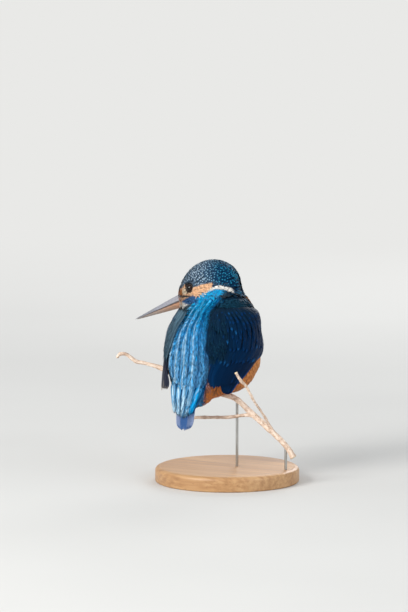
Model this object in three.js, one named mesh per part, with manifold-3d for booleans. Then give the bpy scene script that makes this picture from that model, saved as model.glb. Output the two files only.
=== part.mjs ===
// A common kingfisher as a museum model: it perches hunched on a forked twig, head turned over its left shoulder,
// and a turned base with two pins holds the twig. Millimetres. +Z is up, +Y is the way the breast faces, +X is the
// bird's right. The origin is the centre of the base's underside.
import * as THREE from "three";
import { ParametricGeometry } from "three/addons/geometries/ParametricGeometry.js";
import { mergeVertices } from "three/addons/utils/BufferGeometryUtils.js";
import Module from "manifold-3d";

const wasm = await Module();
wasm.setup();

// ---------------------------------------------------------------- driving dimensions
const V = (x, y, z) => new THREE.Vector3(x, y, z);
const GAP = 0.3; // between pieces that touch
const FLUFF_GAP = 0.6; // between the belly and the twig
const FINENESS = 0.03; // how closely a cut solid keeps to its own surface
const FEET = V(-14, 0, 62); // top of the twig between the feet; the bird is built round this point
const BASE = { radius: 48, thick: 10, bevel: 1.6, foot: 0.6, facets: 40 };
// The pins stand half through the base and end this far under the middle of the twig.
const PINS = { radius: 0.9, facets: 12, under: 0.4, near: V(20.5, 1.8, 0), far: V(56, 4.5, 0) };

const HEAD = V(-8, 14, 67.5); // middle of the skull
const BOW = THREE.MathUtils.degToRad(24); // how far the bill dips below level
const BILL = { start: 16.5, low: -3.4, length: 47.5, rise: 1.4, wide: 4.2, deepUpper: 5.1, deepLower: 4.7, tip: 0.3 };
const EYE = { ahead: 7.8, up: 0.9, side: 11.2, radius: 3.3, dent: 4.3 };
const TAIL = { root: V(-1.5, -19.8, 17), tip: V(-2.2, -30.4, -25.5), wideRoot: 14, wideTip: 7.4, thickRoot: 4.2, thickTip: 0.8 };
const WING = { tuck: 9, hang: 17, axisY: 5, inner: 0.9, shoulder: 0.6, standOff: 2.3, thick: 2.6, rim: 0.6, along: 14, across: 7 };
const LEG = { apart: 6.5, radius: 1.25, toe: 1.15, shank: 8.5, sole: 0.75, knuckle: 0.35 };
const CUTS = { head: { z: 57.6, slope: 0.36 }, neck: { z: 49.5, slope: 0.22 } };

// ---------------------------------------------------------------- solids
// A closed geometry as a manifold-3d solid, turned the right way out.
function solid(geometry) {
  const bare = geometry.clone();
  for (const name of Object.keys(bare.attributes)) if (name !== "position") bare.deleteAttribute(name);
  const merged = mergeVertices(bare, 1e-4);
  const turned = (flip) => {
    const kept = [];
    const index = merged.index.array;
    for (let i = 0; i < index.length; i += 3) {
      const [a, b, c] = [index[i], index[i + 1], index[i + 2]];
      if (a !== b && b !== c && a !== c) kept.push(a, flip ? c : b, flip ? b : c);
    }
    return new wasm.Manifold(
      new wasm.Mesh({
        numProp: 3,
        vertProperties: new Float32Array(merged.attributes.position.array),
        triVerts: new Uint32Array(kept),
      }),
    );
  };
  const made = turned(false);
  return made.volume() < 0 ? turned(true) : made;
}

// A surface made by a function of (u, v), each from 0 to 1, closed where its edges meet.
const surface = (point, across, along) =>
  solid(new ParametricGeometry((u, v, to) => to.copy(point(u, v)), across, along));

// A solid back as a geometry for a mesh.
function geometryOf(made) {
  const m = made.getMesh();
  return new THREE.BufferGeometry()
    .setAttribute("position", new THREE.BufferAttribute(new Float32Array(m.vertProperties), 3))
    .setIndex(new THREE.BufferAttribute(new Uint32Array(m.triVerts), 1));
}

// The largest of a solid's separate bodies, which drops slivers that a cut leaves, with its smallest edges closed up.
function largest(made) {
  return made
    .simplify(FINENESS)
    .decompose()
    .sort((a, b) => b.volume() - a.volume())[0];
}

// ---------------------------------------------------------------- the bird's form
// The form is a smooth union of ellipsoids, each with its middle, half sizes and own axes.
const LEVEL = [V(1, 0, 0), V(0, 1, 0), V(0, 0, 1)];
const AHEAD = V(-Math.cos(BOW), 0, -Math.sin(BOW));
const LEFT = V(0, -1, 0);
const CROWN = V(-Math.sin(BOW), 0, Math.cos(BOW));
const inHead = (ahead, left, up) =>
  HEAD.clone().addScaledVector(AHEAD, ahead).addScaledVector(LEFT, left).addScaledVector(CROWN, up);
const lump = (middle, sizes, axes = LEVEL) => ({ middle, sizes, axes });
const headLump = (ahead, up, ...sizes) => lump(inHead(ahead, 0, up), sizes, [AHEAD, LEFT, CROWN]);

const BODY = [
  lump(V(0, 6, 28), [30, 24.5, 27]), // barrel of the body
  lump(V(0, 12, 21), [29, 21, 21.5]), // fluffed breast
  lump(V(1, 1, 9.5), [28.5, 20, 13.8]), // belly and flanks, down to the twig
  lump(V(3.5, 9, 47), [25.3, 17, 16]), // shoulders
  lump(V(-1.5, -12.5, 19), [20, 14, 25]), // mantle and rump
  lump(V(-1, -17, 0), [10, 8, 11]), // vent, under the tail's root
  lump(V(0, 13, 54), [18.5, 14.5, 11]), // short neck, drawn in
];
const FORM = [
  ...BODY,
  headLump(0.3, -0.6, 16.6, 13.6, 15), // skull
  headLump(-5.5, -2.2, 15.5, 13, 13.2), // nape, with its ragged crest
  headLump(12, -1.6, 10.8, 8.2, 9.2), // face, down to the bill's root
  headLump(9, -8, 9.5, 7, 5.6), // chin and throat
];
const SOFTNESS = 3.6; // how widely neighbouring lumps flow together

function lumpDistance(p, { middle, sizes, axes }) {
  const d = p.clone().sub(middle);
  const q = axes.map((axis, i) => d.dot(axis) / sizes[i]);
  const g = q.map((value, i) => value / sizes[i]);
  const near = Math.hypot(...q);
  return (near * (near - 1)) / Math.max(Math.hypot(...g), 1e-9);
}

// About how far a point is outside the form, negative inside.
function depthOf(p, form) {
  return -SOFTNESS * Math.log(form.reduce((sum, part) => sum + Math.exp(-lumpDistance(p, part) / SOFTNESS), 0));
}

// Where a ray from inside the form leaves it, coming in from outside, at a height above the form.
function edgeAlong(from, direction, above = 0, form = FORM) {
  let reach = 95;
  for (let step = 0; step < 90; step++) {
    const off = depthOf(from.clone().addScaledVector(direction, reach), form) - above;
    if (off < 0.004) break;
    reach -= off * 0.6;
  }
  return from.clone().addScaledVector(direction, reach);
}

// The form seen from a point inside it, as a grid of rays round an axis.
function formFrom(from, axis, side, rings, spokes, above = 0) {
  const other = new THREE.Vector3().crossVectors(axis, side);
  return surface(
    (u, v) => {
      const round = u * 2 * Math.PI;
      const fall = v * Math.PI;
      const direction = axis
        .clone()
        .multiplyScalar(Math.cos(fall))
        .addScaledVector(side, Math.sin(fall) * Math.cos(round))
        .addScaledVector(other, Math.sin(fall) * Math.sin(round));
      return edgeAlong(from, direction.normalize(), above);
    },
    spokes,
    rings,
  );
}

// ---------------------------------------------------------------- bill, eyes
// One half of the bill: a tapering half-round bar, flat where the halves meet, from inside the face to the tip.
function billHalf(upper, grow = 0) {
  const sign = upper ? 1 : -1;
  const deep = upper ? BILL.deepUpper : BILL.deepLower;
  const length = BILL.length - (upper ? 0 : 1); // the lower half is a little shorter
  return surface(
    (u, v) => {
      const taper = 1 - v;
      const wide = BILL.wide * taper + BILL.tip + grow;
      const tall = deep * taper + BILL.tip + grow;
      const turn = u * 2 * Math.PI;
      const end = v === 0 || v === 1 ? 0 : 1;
      const side = end * wide * Math.cos(turn);
      const lift = end * Math.max(Math.sin(turn) * tall, -grow);
      const middle = BILL.low + BILL.rise * v;
      return inHead(BILL.start + length * v + (v === 0 ? -grow : 0), side, middle + sign * (GAP / 2 + lift));
    },
    14,
    8,
  );
}

const ball = (middle, radius, wide = 13, tall = 8) =>
  solid(new THREE.SphereGeometry(radius, wide, tall).rotateX(Math.PI / 2).translate(...middle.toArray()));
const eyeAt = (side) => inHead(EYE.ahead, side * EYE.side, EYE.up);

// ---------------------------------------------------------------- wings and tail
// The folded wing's edges at some heights: degrees round the body from the middle of the back.
const WING_EDGES = [
  // height, inner edge, outer edge
  [55, 52, 78],
  [51.5, 35, 106],
  [42, 27, 126],
  [31, 25, 122],
  [23, 26, 104],
  [15, 29, 84],
  [7, 32, 67],
  [1, 35, 57],
  [-1.5, 41, 50],
];
const edgeCurve = new THREE.CatmullRomCurve3(
  WING_EDGES.map(([height, inner, outer]) => V(height, inner, outer)),
  false,
  "centripetal",
);

// A point on the wing: along from shoulder to tips, across from back to belly, above the body's form.
function wingPoint(side, along, across, above) {
  const { x: height, y: edge, z: outer } = edgeCurve.getPoint(along);
  const tucked = side < 0 ? 1 - THREE.MathUtils.smoothstep(along, 0.5, 0.8) : 0;
  const inner = edge + WING.tuck * tucked; // the left one lies further under the loose feathers of the back
  const turn = THREE.MathUtils.degToRad(inner + (outer - inner) * across);
  const direction = V(side * Math.sin(turn), -Math.cos(turn), 0);
  const from = V(0, WING.axisY, Math.max(height, WING.hang)); // below this height the quills hang straight
  const at = edgeAlong(from, direction, 0, BODY).addScaledVector(direction, above);
  return at.setZ(height);
}

function wing(side) {
  const sheet = (u, v, outside) => {
    const bulge = Math.sqrt(4 * u * (1 - u) * Math.min(1, 3.2 * v) * Math.min(1, 2.6 * (1 - v) + 0.12));
    const atShoulder = WING.shoulder * (1 - THREE.MathUtils.smoothstep(v, 0, 0.3));
    const atTips = WING.standOff * THREE.MathUtils.smoothstep(v, 0.5, 1);
    const thick = outside ? WING.rim + (WING.thick - WING.rim) * bulge : 0;
    return wingPoint(side, v, u, WING.inner + atShoulder + atTips + thick);
  };
  return closedSheet((u, v) => sheet(u, v, true), (u, v) => sheet(u, v, false), WING.across, WING.along);
}

// Two sheets of the same grid, joined round their rim into one closed body.
function closedSheet(outside, inside, across, along) {
  const points = [];
  const faces = [];
  const columns = across + 1;
  for (const face of [outside, inside])
    for (let j = 0; j <= along; j++)
      for (let i = 0; i <= across; i++) points.push(...face(i / across, j / along).toArray());
  const other = columns * (along + 1);
  const quad = (a, b, c, d) => faces.push(a, b, c, a, c, d);
  for (let j = 0; j < along; j++)
    for (let i = 0; i < across; i++) {
      const at = j * columns + i;
      quad(at, at + 1, at + columns + 1, at + columns);
      quad(other + at, other + at + columns, other + at + columns + 1, other + at + 1);
    }
  const rim = [];
  for (let i = 0; i < across; i++) rim.push(i);
  for (let j = 0; j < along; j++) rim.push(j * columns + across);
  for (let i = across; i > 0; i--) rim.push(along * columns + i);
  for (let j = along; j > 0; j--) rim.push(j * columns);
  rim.forEach((at, k) => {
    const next = rim[(k + 1) % rim.length];
    quad(next, at, other + at, other + next);
  });
  return solid(
    new THREE.BufferGeometry()
      .setAttribute("position", new THREE.BufferAttribute(new Float32Array(points), 3))
      .setIndex(faces),
  );
}

// The tail with its coverts: a flat tapering blade with a round end.
function tail(grow = 0) {
  const run = TAIL.tip.clone().sub(TAIL.root);
  const out = V(0, run.z, -run.y).normalize(); // away from the body
  return surface(
    (u, v) => {
      const end = v === 0 || v === 1 ? 0 : 1;
      const turn = u * 2 * Math.PI;
      const round = Math.sqrt(Math.max(0, 1 - Math.pow(Math.max(0, (v - 0.86) / 0.14), 2) * 0.8));
      const wide = (THREE.MathUtils.lerp(TAIL.wideRoot, TAIL.wideTip, Math.pow(v, 0.9)) * round + grow) * end;
      const thick = (THREE.MathUtils.lerp(TAIL.thickRoot, TAIL.thickTip, Math.pow(v, 0.7)) + grow) * end;
      return TAIL.root
        .clone()
        .addScaledVector(run, v)
        .addScaledVector(V(1, 0, 0), wide * Math.cos(turn))
        .addScaledVector(out, thick * Math.sin(turn) + 1.6 * Math.sin(v * Math.PI));
    },
    16,
    12,
  );
}

// ---------------------------------------------------------------- twig
// A round bar along a smooth route, its radius following the route's own radii.
function branch(route, sides = 8, stepsEach = 3, grow = 0) {
  const path = new THREE.CatmullRomCurve3(route.map(([x, y, z]) => V(x, y, z)), false, "centripetal");
  const radii = route.map(([, , , radius]) => radius);
  const steps = (route.length - 1) * stepsEach;
  const frames = path.computeFrenetFrames(steps, false);
  return surface(
    (u, v) => {
      const at = path.getPoint(v);
      const place = v * (radii.length - 1);
      const before = Math.min(Math.floor(place), radii.length - 2);
      const radius = THREE.MathUtils.lerp(radii[before], radii[before + 1], place - before) + grow;
      if (v === 0 || v === 1) return at;
      const k = Math.round(v * steps);
      const turn = u * 2 * Math.PI;
      return at
        .addScaledVector(frames.normals[k], radius * Math.cos(turn))
        .addScaledVector(frames.binormals[k], radius * Math.sin(turn));
    },
    sides,
    steps,
  );
}

// Routes: x, y, z and radius, from the point between the feet.
const STEM = [
  [-71.9, 0.1, 14.7, 0.8],
  [-69.4, 0.3, 17.4, 1.1],
  [-64.7, 0.8, 17.4, 1.2],
  [-58, 2.2, 12.9, 1.25],
  [-51.9, 3.2, 12.2, 1.35],
  [-40.3, 4.4, 9.6, 1.45],
  [-22, 3, 3.4, 1.75],
  [0, 0.4, -2.1, 1.95],
  [14, 0.6, -4.6, 1.95],
  [22.4, 0.4, -7.6, 1.8],
  [31.1, 0.8, -14.6, 1.95],
  [44.1, 2.3, -24.8, 1.8],
  [55.9, 4.5, -35.6, 1.85],
  [61.4, 5.4, -43.4, 1.9],
];
const UPPER_TWIG = [
  [47.5, 3.2, -27.6, 1.1],
  [45, 0.2, -20.6, 0.9],
  [43, -5.2, -12.9, 0.8],
  [41.1, -12, -4.7, 0.85],
  [38.9, -18, 5, 0.9],
  [37, -21.8, 9.2, 1.05],
  [34.8, -25.4, 15.2, 0.95],
];
const LOWER_TWIG = [
  [34.4, 1.2, -17, 1.4],
  [27.2, 0.1, -16.9, 1.1],
  [17.1, -1.9, -18.8, 1.05],
  [4.7, -4.2, -19.6, 1.0],
  [-5.9, -5.8, -20.2, 0.95],
  [-14.6, -6.8, -22, 0.8],
];

// ---------------------------------------------------------------- feet
// The twig's middle and its direction near the feet.
const stemLine = new THREE.CatmullRomCurve3(STEM.map(([x, y, z]) => V(x, y, z)), false, "centripetal");
function stemAt(x) {
  let [low, high] = [0, 1];
  for (let step = 0; step < 40; step++) {
    const middle = (low + high) / 2;
    if (stemLine.getPoint(middle).x < x) low = middle;
    else high = middle;
  }
  return { at: stemLine.getPoint(low), along: stemLine.getTangent(low) };
}

// Toes curl round the twig: [offset along it, sweep over it in degrees, whether it points back]
const TOES = [
  [-1.7, 92, false],
  [0.15, 104, false],
  [1.9, 86, false],
  [0.4, 84, true],
];
const STEM_RADIUS = 2.0;

// A point beside the twig at an angle from its top, forward or back.
function roundStem(x, offset, degrees, back, clear) {
  const { at, along } = stemAt(x + offset);
  const front = V(0, 1, 0).addScaledVector(along, -along.y).normalize();
  const top = new THREE.Vector3().crossVectors(along, front).normalize();
  if (top.z < 0) top.negate();
  const turn = THREE.MathUtils.degToRad(degrees);
  return at
    .addScaledVector(top, Math.cos(turn) * (STEM_RADIUS + clear))
    .addScaledVector(front, (back ? -1 : 1) * Math.sin(turn) * (STEM_RADIUS + clear));
}

function toeRoute(x, [offset, sweep, back], from, to, clear, thin) {
  const count = 5;
  return Array.from({ length: count }, (_, i) => {
    const share = from + ((to - from) * i) / (count - 1);
    const p = roundStem(x, offset * Math.min(1, 0.35 + share), 12 + sweep * share, back, clear + LEG.knuckle * Math.sin(share * 9));
    return [p.x, p.y, p.z, thin(share)];
  });
}

function foot(x, grow = 0) {
  const toes = TOES.map((toe) =>
    branch(toeRoute(x, toe, 0, 1, LEG.toe + 0.55, (share) => LEG.toe * (1 - 0.28 * share)), 6, 1, grow),
  );
  const sole = roundStem(x, 0, 0, false, LEG.toe + 0.9);
  return toes.reduce((all, toe) => all.add(toe), ball(sole, LEG.toe + LEG.sole + grow, 10, 6));
}

const claw = (x, toe, grow = 0) =>
  branch(toeRoute(x, toe, 1.1, 1.46, LEG.toe + 0.4, (share) => 0.78 * (1.5 - share) + 0.25), 6, 1, grow);

function shank(x, grow = 0) {
  const foot = roundStem(x, 0, 0, false, LEG.toe + 1.2);
  return branch(
    [
      [foot.x, foot.y, foot.z, LEG.radius * 1.05],
      [foot.x, foot.y - 0.6, foot.z + LEG.shank * 0.5, LEG.radius],
      [foot.x * 0.97, foot.y - 1, foot.z + LEG.shank + grow, LEG.radius * 1.1],
    ],
    8,
    3,
    grow,
  );
}

// ---------------------------------------------------------------- stand
function standBase() {
  const { radius, thick, bevel, foot, facets } = BASE;
  const edge = [
    [0, 0],
    [radius - foot, 0],
    [radius, foot],
    [radius, thick - bevel * 1.4],
    [radius - bevel * 0.5, thick - bevel * 0.5],
    [radius - bevel * 1.6, thick],
    [0, thick],
  ].map(([x, y]) => new THREE.Vector2(x, y));
  return solid(new THREE.LatheGeometry(edge, facets).rotateX(Math.PI / 2));
}

// A pin from inside the base up into the twig.
function pin(where, grow = 0) {
  const { at } = stemAt(where.x);
  const top = FEET.z + at.z - PINS.under;
  const low = BASE.thick / 2;
  const tall = top - low + 2 * grow;
  return solid(
    new THREE.CylinderGeometry(PINS.radius + grow, PINS.radius + grow, tall, PINS.facets)
      .rotateX(Math.PI / 2)
      .translate(FEET.x + where.x, FEET.y + where.y, low - grow + tall / 2),
  );
}

// ---------------------------------------------------------------- assembly
const move = (made) => made.translate(FEET.toArray());
const side = (wall) => new THREE.Vector3(-wall.slope, 0, 1).normalize();
const plane = (wall, z) => [side(wall), side(wall).z * z];

const eyes = { left: 1, right: -1 };
const stem = branch(STEM, 9, 2).add(branch(UPPER_TWIG, 7, 2)).add(branch(LOWER_TWIG, 7, 2));
const clearOfStem = branch(STEM, 9, 2, FLUFF_GAP);

const fromHead = (above) => formFrom(HEAD, AHEAD, LEFT, 20, 24, above);
const fromBody = (above) => formFrom(V(0, 7, 36), V(0, 0, 1), V(1, 0, 0), 25, 34, above);
const headForm = fromHead(0);
const bodyForm = fromBody(0);
const [headNormal, headAt] = plane(CUTS.head, CUTS.head.z);
const [neckNormal, neckAt] = plane(CUTS.neck, CUTS.neck.z);
const up = (normal) => normal.toArray();
const down = (normal) => normal.clone().negate().toArray();

let head = headForm.trimByPlane(up(headNormal), headAt + GAP);
for (const upper of [true, false]) head = head.subtract(billHalf(upper, GAP));
for (const which of Object.values(eyes)) {
  head = head.subtract(ball(eyeAt(which), EYE.radius + GAP));
  head = head.subtract(ball(eyeAt(which * 1.3), EYE.dent, 12, 7));
}
const room = fromHead(0.5).trimByPlane(up(headNormal), headAt).add(fromBody(0.5).trimByPlane(down(headNormal), -headAt));
const wings = { left: largest(wing(-1).subtract(room)), right: largest(wing(1).subtract(room)) };
const neck = bodyForm.trimByPlane(down(headNormal), -headAt).trimByPlane(up(neckNormal), neckAt + GAP);
const legs = {};
const feet = {};
for (const [name, x] of [["left", -LEG.apart], ["right", LEG.apart]]) {
  feet[name] = foot(x);
  legs[name] = shank(x).subtract(ball(roundStem(x, 0, 0, false, LEG.toe + 0.9), LEG.toe + LEG.sole + GAP, 10, 6));
}
let trunk = bodyForm.trimByPlane(down(neckNormal), -neckAt);
trunk = trunk.subtract(tail(GAP)).subtract(clearOfStem);
for (const name of ["left", "right"]) {
  const x = name === "left" ? -LEG.apart : LEG.apart;
  const well = TOES.reduce((all, toe) => all.add(claw(x, toe, GAP)), foot(x, GAP)).hull();
  const socket = shank(x, GAP).hull();
  trunk = trunk.subtract(well).subtract(socket);
}

const MATERIALS = {
  crown: { color: 0x1f5f78, roughness: 0.6 },
  back: { color: 0x1589c4, roughness: 0.5 },
  wing: { color: 0x0d3f66, roughness: 0.55 },
  tail: { color: 0x2f5fa8, roughness: 0.55 },
  bill: { color: 0x25262b, roughness: 0.3 },
  billLower: { color: 0xc8683a, roughness: 0.35 },
  eye: { color: 0x0d0a09, roughness: 0.05 },
  leg: { color: 0xc4472a, roughness: 0.5 },
  claw: { color: 0x2a2422, roughness: 0.4 },
  bark: { color: 0xcbb79d, roughness: 0.8 },
  wood: { color: 0x5b3a24, roughness: 0.45 },
  steel: { color: 0xb9bcc0, roughness: 0.3, metalness: 1 },
};
const group = new THREE.Group();
function put(name, made, look) {
  const mesh = new THREE.Mesh(geometryOf(made), new THREE.MeshStandardMaterial(MATERIALS[look]));
  mesh.name = name;
  group.add(mesh);
}

put("head", move(largest(head)), "crown");
put("neck", move(largest(neck)), "crown");
put("trunk", move(largest(trunk)), "back");
put("tail", move(tail()), "tail");
put("bill_upper", move(billHalf(true)), "bill");
put("bill_lower", move(billHalf(false)), "billLower");
for (const [name, which] of Object.entries(eyes)) put(`eye_${name}`, move(ball(eyeAt(which), EYE.radius)), "eye");
for (const [name, made] of Object.entries(wings)) put(`wing_${name}`, move(made), "wing");
for (const [name, x] of [["left", -LEG.apart], ["right", LEG.apart]]) {
  put(`leg_${name}`, move(largest(legs[name])), "leg");
  const claws = TOES.map((toe) => claw(x, toe));
  put(`foot_${name}`, move(largest(feet[name])), "leg");
  TOES.forEach((toe, k) => put(`claw_${name}_${k + 1}`, move(claws[k]), "claw"));
}
const pins = { near: pin(PINS.near), far: pin(PINS.far) };
const holes = { near: pin(PINS.near, GAP), far: pin(PINS.far, GAP) };
put("perch", move(stem).subtract(holes.near).subtract(holes.far), "bark");
put("stand_base", standBase().subtract(holes.near).subtract(holes.far), "wood");
for (const name of ["near", "far"]) put(`stand_pin_${name}`, pins[name], "steel");

export default group;
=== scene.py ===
"""A common kingfisher as a life-size museum model, hunched on a twig with its bill over its left shoulder.

Every shape is worked out in millimetres from the point on the twig between the feet: x is the bird's right,
y the way its breast faces and z up. Arrays of points end in an axis of three. Blender gets them in metres.
"""

import math

import bmesh
import bpy
import numpy as np
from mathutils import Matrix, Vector


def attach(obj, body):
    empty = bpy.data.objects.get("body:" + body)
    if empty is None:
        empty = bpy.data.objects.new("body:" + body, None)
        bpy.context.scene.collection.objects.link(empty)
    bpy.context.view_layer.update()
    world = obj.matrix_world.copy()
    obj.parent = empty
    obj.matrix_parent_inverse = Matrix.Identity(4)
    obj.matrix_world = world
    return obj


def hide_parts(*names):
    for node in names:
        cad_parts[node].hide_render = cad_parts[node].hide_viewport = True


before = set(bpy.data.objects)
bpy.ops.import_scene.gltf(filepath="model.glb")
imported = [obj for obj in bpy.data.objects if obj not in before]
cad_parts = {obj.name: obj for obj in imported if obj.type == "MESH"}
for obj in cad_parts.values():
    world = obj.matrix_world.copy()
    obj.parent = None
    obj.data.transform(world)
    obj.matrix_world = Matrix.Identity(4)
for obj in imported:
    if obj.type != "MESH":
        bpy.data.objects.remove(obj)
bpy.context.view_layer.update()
rng = np.random.default_rng(20)

# ---------------------------------------------------------------- driving dimensions
FEET = np.array([-14.0, 0.0, 62.0])  # the point between the feet, in the part's own frame
MM = 0.001
HEAD = np.array([-8.0, 14.0, 67.5])  # middle of the skull
BOW = math.radians(24)  # how far the bill dips below level
AHEAD = np.array([-math.cos(BOW), 0.0, -math.sin(BOW)])
LEFT = np.array([0.0, -1.0, 0.0])
CROWN = np.array([-math.sin(BOW), 0.0, math.cos(BOW)])
HEAD_AXES = np.array([AHEAD, LEFT, CROWN])
LEVEL_AXES = np.eye(3)
EYE = {"ahead": 7.8, "side": 11.2, "up": 0.9, "radius": 3.3}
BILL = {"start": 16.5, "low": -3.4, "length": 47.5, "wide": 4.2, "upper": 5.1, "lower": 4.7, "rise": 1.4}
TAIL_ROOT = np.array([-1.5, -19.8, 17.0])
TAIL_TIP = np.array([-2.2, -30.4, -25.5])
COAT = {"head": 1.2, "trunk": 2.4}  # depth of the plumage over the skin
SOFTNESS = 3.6  # how widely neighbouring lumps flow together


def in_head(ahead, left, up):
    """Point at these distances from the middle of the skull, along the head's own three axes."""
    across = np.multiply.outer(left, LEFT) + np.multiply.outer(up, CROWN)
    return HEAD + np.multiply.outer(ahead, AHEAD) + across


def head_lump(ahead, up, *sizes):
    """An ellipsoid of the head: its middle on the bird's midline, its half sizes, and the head's axes."""
    return (in_head(ahead, 0.0, up), sizes, HEAD_AXES)


BODY = [  # middle, half sizes and axes of each ellipsoid of the trunk
    ((0, 6, 28), (30, 24.5, 27), LEVEL_AXES),
    ((0, 12, 21), (29, 21, 21.5), LEVEL_AXES),
    ((1, 1, 9.5), (28.5, 20, 13.8), LEVEL_AXES),
    ((3.5, 9, 47), (25.3, 17, 16), LEVEL_AXES),
    ((-1.5, -12.5, 19), (20, 14, 25), LEVEL_AXES),
    ((-1, -17, 0), (10, 8, 11), LEVEL_AXES),
    ((0, 13, 54), (18.5, 14.5, 11), LEVEL_AXES),
]
FORM = BODY + [
    head_lump(0.3, -0.6, 16.6, 13.6, 15),
    head_lump(-5.5, -2.2, 15.5, 13, 13.2),
    head_lump(12, -1.6, 10.8, 8.2, 9.2),
    head_lump(9, -8, 9.5, 7, 5.6),
]
WING_EDGES = np.array(
    [  # height, inner and outer edge in degrees round the body from the middle of the back
        [55, 52, 78],
        [51.5, 35, 106],
        [42, 27, 126],
        [31, 25, 122],
        [23, 26, 104],
        [15, 29, 84],
        [7, 32, 67],
        [1, 35, 57],
        [-1.5, 41, 50],
    ],
    float,
)
WING_TUCK = 9.0  # how many degrees more of the left wing lie under the back's loose feathers
WING_FOLD = 8.0  # how many degrees a wing's inner quills reach in over the rump
WING_HANG = 17.0  # below this height the quills hang straight
WING_AXIS_Y = 5.0
STEM = [  # x, y, z and radius
    [-71.9, 0.1, 14.7, 0.8],
    [-69.4, 0.3, 17.4, 1.1],
    [-64.7, 0.8, 17.4, 1.2],
    [-58, 2.2, 12.9, 1.25],
    [-51.9, 3.2, 12.2, 1.35],
    [-40.3, 4.4, 9.6, 1.45],
    [-22, 3, 3.4, 1.75],
    [0, 0.4, -2.1, 1.95],
    [14, 0.6, -4.6, 1.95],
    [22.4, 0.4, -7.6, 1.8],
    [31.1, 0.8, -14.6, 1.95],
    [44.1, 2.3, -24.8, 1.8],
    [55.9, 4.5, -35.6, 1.85],
    [61.4, 5.4, -43.4, 1.9],
]
UPPER_TWIG = [
    [47.5, 3.2, -27.6, 1.1],
    [45, 0.2, -20.6, 0.9],
    [43, -5.2, -12.9, 0.8],
    [41.1, -12, -4.7, 0.85],
    [38.9, -18, 5, 0.9],
    [37, -21.8, 9.2, 1.05],
    [34.8, -25.4, 15.2, 0.95],
]
LOWER_TWIG = [
    [34.4, 1.2, -17, 1.4],
    [27.2, 0.1, -16.9, 1.1],
    [17.1, -1.9, -18.8, 1.05],
    [4.7, -4.2, -19.6, 1.0],
    [-5.9, -5.8, -20.2, 0.95],
    [-14.6, -6.8, -22, 0.8],
]
LEG_APART = 6.5  # from the middle to each foot
TOE = 1.15  # radius of a toe at its root
STEM_RADIUS = 2.0  # of the twig under the toes
COAT_MIDDLE = np.array([0.0, 7, 34])  # where the rays that root the trunk's feathers start
NECK_SLANT = 0.33  # how much the foot of the neck rises for each millimetre to the bird's right
LOCKS = 2.4  # loose locks on the azure back from its middle to an edge
STREAKS = 7.3  # finer streaks over the same width
BARB_TURN = 15.0  # radians of the barbs' wave in a millimetre: coarser than life, so that they show
BAKE_PATCH = 0.003  # the size of a vane's patch on the chart for baking


# ---------------------------------------------------------------- colours
def linear(code):
    """An sRGB hex colour as three linear parts."""
    parts = np.array([(code >> shift) & 255 for shift in (16, 8, 0)]) / 255
    return np.where(parts <= 0.04045, parts / 12.92, ((parts + 0.055) / 1.055) ** 2.4)


TINT = {
    name: linear(code)
    for name, code in {
        "crown_front": 0x475D73,
        "crown_back": 0x032B4C,
        "spot_front": 0xB9D0E3,
        "spot_back": 0x2C9AC2,
        "lore": 0xD9853A,
        "pale_lore": 0xF2DEC0,
        "mask": 0x15191F,
        "ear": 0xFCCBA0,
        "ear_low": 0xEBAA78,
        "stripe": 0xFBF7F0,
        "malar": 0x1D5F9E,
        "malar_spot": 0x3F8CC8,
        "throat": 0xFDF9F2,
        "azure": 0x06A0E6,
        # The pale azure is a near-white painted highlight for the crests of the back's locks; the deep azure
        # is the painted shade of their furrows.
        "painted_azure_highlight": 0xC2E8FE,
        "azure_deep": 0x01508C,
        "cyan": 0x08A4D8,
        # The next five blues, of the mantle and the wings and their spots, are darker and duller than the
        # bird's own: partly their colour, partly painted shade.
        "scapular": 0x0B2233,
        "scapular_edge": 0x153C50,
        "wing": 0x021E3C,
        "wing_edge": 0x06305F,
        "wing_spot": 0x1F69A8,
        "quill": 0x041832,
        "quill_edge": 0x0A3C78,
        # shoulder: a pale grey teal laid over the left side's mantle, scapulars and coverts as painted
        # light.
        "shoulder": 0x587685,
        "belly": 0xC4763C,
        "belly_edge": 0xDA9658,
        # vent: the under tail's rufous, drawn darker than the bird's own as painted shade; it also paints
        # the belly's shade.
        "vent": 0x9A6440,
        "tail": 0x34578A,
        "tail_edge": 0xA3B4DC,
        "cream": 0xF2E6D0,
        # the left wing's paler brown quills: painted light
        "quill_in_painted_light": 0x4C4846,
    }.items()
}


def step(low, high, value):
    """Smooth rise from 0 at low to 1 at high, or a fall where low is above high."""
    share = np.clip((value - low) / (high - low), 0, 1)
    return share * share * (3 - 2 * share)


def mixed(first, second, share):
    """Between two colours, or arrays of them, by a share for each point."""
    return first + (second - first) * np.asarray(share)[..., None]


# ---------------------------------------------------------------- the bird's form
def form(points, lumps=FORM):
    """Height over the bird's outline and the way out of it.

    Each ellipsoid's distance d is k (k - 1) / |k grad k|, where k is the distance from its middle over its
    half sizes. They are joined by the smooth least of all, -s log(sum exp(-d / s)), with their ways out.
    """
    total = 0
    out = 0
    for middle, sizes, axes in lumps:
        scaled = ((points - np.array(middle)) @ axes.T) / np.array(sizes)
        slope = scaled / np.array(sizes)
        near = np.linalg.norm(scaled, axis=-1)
        steep = np.maximum(np.linalg.norm(slope, axis=-1), 1e-9)
        weight = np.exp(-np.clip(near * (near - 1) / steep, -60, 200) / SOFTNESS)
        total = total + weight
        out = out + weight[..., None] * ((slope @ axes) / steep[..., None])
    return -SOFTNESS * np.log(total), unit(out)


def unit(vectors):
    """Vectors over their own lengths."""
    return vectors / np.maximum(np.linalg.norm(vectors, axis=-1, keepdims=True), 1e-12)


def head_place(points):
    """Distances ahead, left and up from the middle of the skull."""
    return np.moveaxis((points - HEAD) @ HEAD_AXES.T, -1, 0)


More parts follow.
